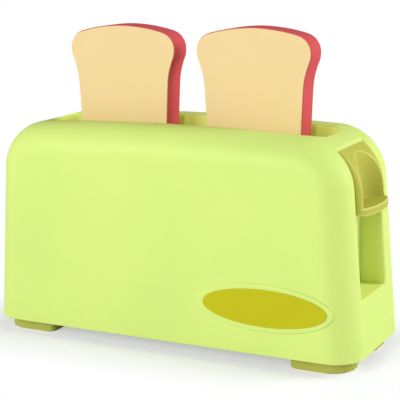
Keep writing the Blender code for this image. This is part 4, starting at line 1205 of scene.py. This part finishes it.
class TOASTER_OT_casing(Operator):
    """Build the shell with its slot, channel and relief"""
    bl_idname = "toaster.casing"
    bl_label = "Casing"

    def execute(self, context):
        sizes = context.scene.toaster_casing
        case = CaseForm(sizes)
        near, corner = FIT / 2, sizes.slot_corner
        x, y = case.slot_half_length + near, sizes.slot_width / 2 + near
        side = sizes.channel_width / 2 + near
        # Painted light: a lighter lime inside the slot and the channel
        slot = ((-x, -y, RIM), (x, y, TOP + corner), corner, sizes.slot_painted_light)
        channel = ((case.channel_back - near, -side, case.channel_floor - near), (HALF_LENGTH, side, TOP),
                   near, sizes.channel_painted_light)
        material = moulded_plastic("lime_moulded_plastic", sizes.colour, 0.36, recesses=(slot, channel))
        mesh = casing_mesh(context.scene)
        piece("casing_shell", mesh, "casing", "lime_plastic", material, "housing", angle=30)
        return {"FINISHED"}


class TOASTER_OT_oval(Operator):
    """Build the bare olive oval on the front"""
    bl_idname = "toaster.oval"
    bl_label = "Oval"

    def execute(self, context):
        case, relief = CaseForm(context.scene.toaster_casing), context.scene.toaster_relief
        base, rise, half_width = relief.pad_rise, relief.plate_rise, relief.plate_width / 2
        rim = [(inward, base + rise - short) for inward, short in quarter(rise, OVAL_EDGE_STEPS)]
        profile = [(0, base - OVAL_SINK)] + rim
        profile += flat_middle(rise + OVAL_FIRST_RING, base + rise, half_width)
        centre = (HALF_LENGTH - relief.from_end + OVAL_SHIFT, RIM + relief.above_rim + OVAL_SHIFT)
        bm = oval_on_front(case, centre, relief.plate_length / 2, half_width, profile,
                           OVAL_ROOT - HALF_DEPTH)
        material = moulded_plastic("olive_oval_lacquer", relief.colour, 0.36, grain=0.000004)
        piece("olive_oval", meshed(bm), "casing", "olive_lever_plastic", material)
        return {"FINISHED"}


class TOASTER_OT_base(Operator):
    """Build the bottom plate with its four feet"""
    bl_idname = "toaster.base"
    bl_label = "Bottom Plate"

    def execute(self, context):
        scene = context.scene
        material = moulded_plastic("olive_plate_moulded_plastic", scene.toaster_plate.colour, 0.44)
        mesh = base_plate_mesh(scene)
        piece("bottom_plate", mesh, "casing", "olive_plate_plastic", material, "base_plate")
        return {"FINISHED"}


class TOASTER_OT_steel(Operator):
    """Build screws, guide posts, stop rings, springs and the catch"""
    bl_idname = "toaster.steel"
    bl_label = "Steel Pieces"

    def execute(self, context):
        scene = context.scene
        steel, case = scene.toaster_steel, CaseForm(scene.toaster_casing)
        bright = metal("ground_bright_steel", steel.bright, 0.28, (1, 1, 9))
        spring = metal("drawn_spring_steel", steel.spring, 0.34, (2, 2, 2))
        zinc = metal("zinc_plated_steel", steel.zinc, 0.38, (1, 1, 1), 0.35)
        seat = PLATE_BOTTOM + steel.recess + steel.head_height
        for number, (x, y) in enumerate(case.screw_places(steel), start=1):
            mesh = screw_mesh(steel, steel.shank_length)
            mesh.transform(Matrix.Translation((x, y, seat)) @ Matrix.Rotation(pi, 4, "X"))
            name = "plate_screw_%d" % number
            piece(name, mesh, "casing", "zinc_plated_steel", zinc, "base_screw_%d" % number)
        under_head = CLIP_SCREW_HIGH.z - steel.head_height
        mesh = screw_mesh(steel, under_head - CLIP_SCREW_LOW.z)
        mesh.transform(Matrix.Translation((0, 0, under_head)))
        piece("catch_screw", mesh, "casing", "zinc_plated_steel", zinc, "clip_screw")
        piece("catch_strip", strip_mesh(scene), "casing", "spring_steel", spring, "catch_clip")
        keep = (SPRING_HIGH.z - SPRING_LOW.z - TRAVEL) / (SPRING_HIGH.z - SPRING_LOW.z)
        for side, x in (("left", -POST_X), ("right", POST_X)):
            self.build_post(side, x, keep, steel, bright, spring)
        return {"FINISHED"}

    def build_post(self, side, x, keep, steel, bright, spring):
        rod, ring = form(), form()
        radius, low, high, edge = POST_RADIUS, POST_LOW.z, POST_HIGH.z, POST_EDGE
        add_turned(rod, [(radius - SMALL_CHAMFER, low), (radius, low + SMALL_CHAMFER), (radius, high - edge),
                         (radius - edge * 0.3, high - edge * 0.3), (radius - edge, high)], x)
        piece("post_" + side, meshed(rod), "casing", "bright_steel", bright, "guide_post_" + side)
        outer, bore, small = (RING_HIGH.x - RING_LOW.x) / 2, POST_RADIUS + FIT, RING_CHAMFER
        low, high = RING_LOW.z, RING_HIGH.z
        add_turned(ring, [(bore, low + small), (bore + small, low), (outer - small, low),
                          (outer, low + small), (outer, high - small), (outer - small, high),
                          (bore + small, high), (bore, high - small)], x, hollow=True)
        piece("ring_" + side, meshed(ring), "casing", "spring_steel", spring, "stop_ring_" + side)
        coil = piece("spring_" + side, spring_mesh(steel, x), "casing", "spring_steel", spring,
                     "carriage_spring_" + side, weighted=False)
        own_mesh(coil)


class TOASTER_OT_carriage(Operator):
    """Build the tray that carries the slices"""
    bl_idname = "toaster.carriage"
    bl_label = "Carriage"

    def execute(self, context):
        scene = context.scene
        material = moulded_plastic("olive_satin_plastic", scene.toaster_carriage.colour, 0.46)
        mesh = carriage_mesh(scene)
        piece("toast_tray", mesh, "carriage", "carriage_plastic", material, "carriage")
        return {"FINISHED"}


class TOASTER_OT_lever(Operator):
    """Build the finger lever"""
    bl_idname = "toaster.lever"
    bl_label = "Lever"

    def execute(self, context):
        lever, mesh = context.scene.toaster_lever, lever_mesh(context.scene)
        # The lever's outstanding edges get a painted highlight
        material = moulded_plastic("olive_glossy_plastic", lever.colour, 0.32, worn=lever.painted_edge_highlight)
        piece("finger_lever", mesh, "carriage", "olive_lever_plastic", material, "lever",
              angle=0, weighted=False)
        return {"FINISHED"}


class TOASTER_OT_slices(Operator):
    """Build both toast slices, each a crust between two cream plates"""
    bl_idname = "toaster.slices"
    bl_label = "Toast Slices"

    def execute(self, context):
        sizes = context.scene.toaster_slices
        red = moulded_plastic("red_crust_plastic", sizes.crust, 0.36, drift=0.04)
        cream = moulded_plastic("cream_crumb_plastic", sizes.cream, 0.50, grain=0.000012, drift=0.02)
        for side in ("left", "right"):
            name = "toast_" + side
            low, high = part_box(name + "_crust")
            outline = slice_outline(low, high)
            crust = slab(outline, low.y, high.y, sizes.crust_edge)
            piece(name + "_crust_slab", meshed(crust), name, "crust_plastic", red, name + "_crust")
            plate_outline = moved_inward(outline, sizes.crumb_inset)
            faces = (("front", low.y - sizes.crumb, low.y), ("back", high.y, high.y + sizes.crumb))
            for label, front, back in faces:
                plate = slab(plate_outline, front, back, min(sizes.crumb_edge, sizes.crumb * 0.45))
                piece("%s_crumb_%s_plate" % (name, label), meshed(plate), name, "crumb_plastic", cream,
                      "%s_crumb_%s" % (name, label))
        return {"FINISHED"}


# Each lamp's setting, place and size, and where they point
LAMPS = (("key", (-0.62, -1.27, 0.60), 0.8), ("fill", (1.15, 0.62, 0.60), 0.8),
         ("front", (0.10, -1.42, 0.52), 0.3))
LAMP_TARGET = Vector((0, 0, 0.05))


class TOASTER_OT_stage(Operator):
    """Lay the floor, hang the lamps and place the camera"""
    bl_idname = "toaster.stage"
    bl_label = "Stage"

    def execute(self, context):
        sizes = context.scene.toaster_stage
        self.lay_floor(sizes)
        self.light_world(context.scene, sizes)
        for name, place, size in LAMPS:
            self.hang_lamp(name + "_lamp", place, size, getattr(sizes, name))
        self.place_camera(context.scene, sizes)
        context.scene.view_settings.view_transform = "Standard"
        return {"FINISHED"}

    def lay_floor(self, sizes):
        """A paper floor that fades to white round the toaster and is lifted a little where it is seen."""
        bm = form()
        bmesh.ops.create_grid(bm, x_segments=8, y_segments=8, size=sizes.floor_size / 2)
        floor = placed("pale_floor", meshed(bm, "pale_floor"))
        s = Surface("pale_floor")
        place = s.place()
        paper = s.mix(s.noise(place, *PAPER), shaded(sizes.floor, 0.985), shaded(sizes.floor, 1.0))
        s.set({"Base Color": paper, "Roughness": 0.9, "Specular IOR Level": 0.0})
        reach = Vector((HALF_LENGTH, HALF_DEPTH, TOP))
        far = s.ramp(s.beyond(place, -reach, reach), -0.1 * sizes.pale, sizes.pale)
        lit, lift = Wire(s, s.shader.outputs[0]), s.light("ShaderNodeEmission", sizes.lift)
        lifted = s.node("ShaderNodeAddShader", {}, {0: lit, 1: lift})
        near = s.mix_shaders(far, lifted, s.light("ShaderNodeEmission", 1.0))
        s.end("Material Output", s.mix_shaders(s.seen(), lit, near))
        floor.data.materials.append(s.material)

    def light_world(self, scene, sizes):
        """Light from round the horizon that blends toward the overhead strength straight above, in a room
        that is seen as white.
        """
        world = bpy.data.worlds.new("white_room")
        scene.world = world
        world.use_nodes = True
        s = Nodes(world.node_tree)
        s.tree.nodes.remove(s.tree.nodes["Background"])
        low, high, white = [s.light("ShaderNodeBackground", strength)
                            for strength in (sizes.ambient, sizes.overhead, 1.0)]
        height = s.node("ShaderNodeSeparateXYZ", {}, {0: s.place("Generated")}, "Z")
        s.end("World Output", s.mix_shaders(s.seen(), s.mix_shaders(height, low, high), white))

    def hang_lamp(self, name, place, size, power):
        lamp = bpy.data.lights.new(name, "AREA")
        lamp.shape, lamp.size, lamp.energy = "DISK", size, power
        item = placed(name, lamp)
        item.location = place
        item.rotation_mode = "QUATERNION"
        item.rotation_quaternion = (LAMP_TARGET - Vector(place)).to_track_quat("-Z", "Y")

    def place_camera(self, scene, sizes):
        azimuth, elevation, roll = sizes.azimuth, sizes.elevation, sizes.roll
        back = Vector((sin(azimuth) * cos(elevation), -cos(azimuth) * cos(elevation), sin(elevation)))
        right = (-back).cross(Vector((0, 0, 1))).normalized()
        up = right.cross(-back)
        turned_right = right * cos(roll) + up * sin(roll)
        turned_up = -right * sin(roll) + up * cos(roll)
        data = bpy.data.cameras.new("photo_camera")
        data.lens, data.sensor_width = sizes.lens, 36
        data.clip_start, data.clip_end = 0.01, 20
        camera = placed("photo_camera", data)
        turn = Matrix((turned_right, turned_up, back)).transposed().to_4x4()
        camera.matrix_world = Matrix.Translation(Vector(sizes.target) + back * sizes.distance) @ turn
        scene.camera = camera


class TOASTER_PT_pieces(Panel):
    """Lists the pieces in the order in which they are built"""
    bl_idname = "TOASTER_PT_pieces"
    bl_label = "Toy Toaster"
    bl_space_type = "VIEW_3D"
    bl_region_type = "UI"
    bl_category = "Toaster"

    def draw(self, context):
        for operator in OPERATORS:
            self.layout.operator(operator.bl_idname)


OPERATORS = (TOASTER_OT_casing, TOASTER_OT_oval, TOASTER_OT_base, TOASTER_OT_steel, TOASTER_OT_carriage,
             TOASTER_OT_lever, TOASTER_OT_slices, TOASTER_OT_stage)


def register():
    for kind in (*SETTINGS.values(), *OPERATORS, TOASTER_PT_pieces):
        bpy.utils.register_class(kind)
    for name, kind in SETTINGS.items():
        setattr(bpy.types.Scene, name, PointerProperty(type=kind))


def unregister():
    for name in SETTINGS:
        delattr(bpy.types.Scene, name)
    for kind in reversed((*SETTINGS.values(), *OPERATORS, TOASTER_PT_pieces)):
        bpy.utils.unregister_class(kind)


def main():
    register()
    for operator in OPERATORS:
        step = getattr(bpy.ops.toaster, operator.bl_idname.partition(".")[2])
        if step() != {"FINISHED"}:
            raise RuntimeError("%s didn't finish" % operator.bl_idname)


if __name__ == "__main__":
    main()
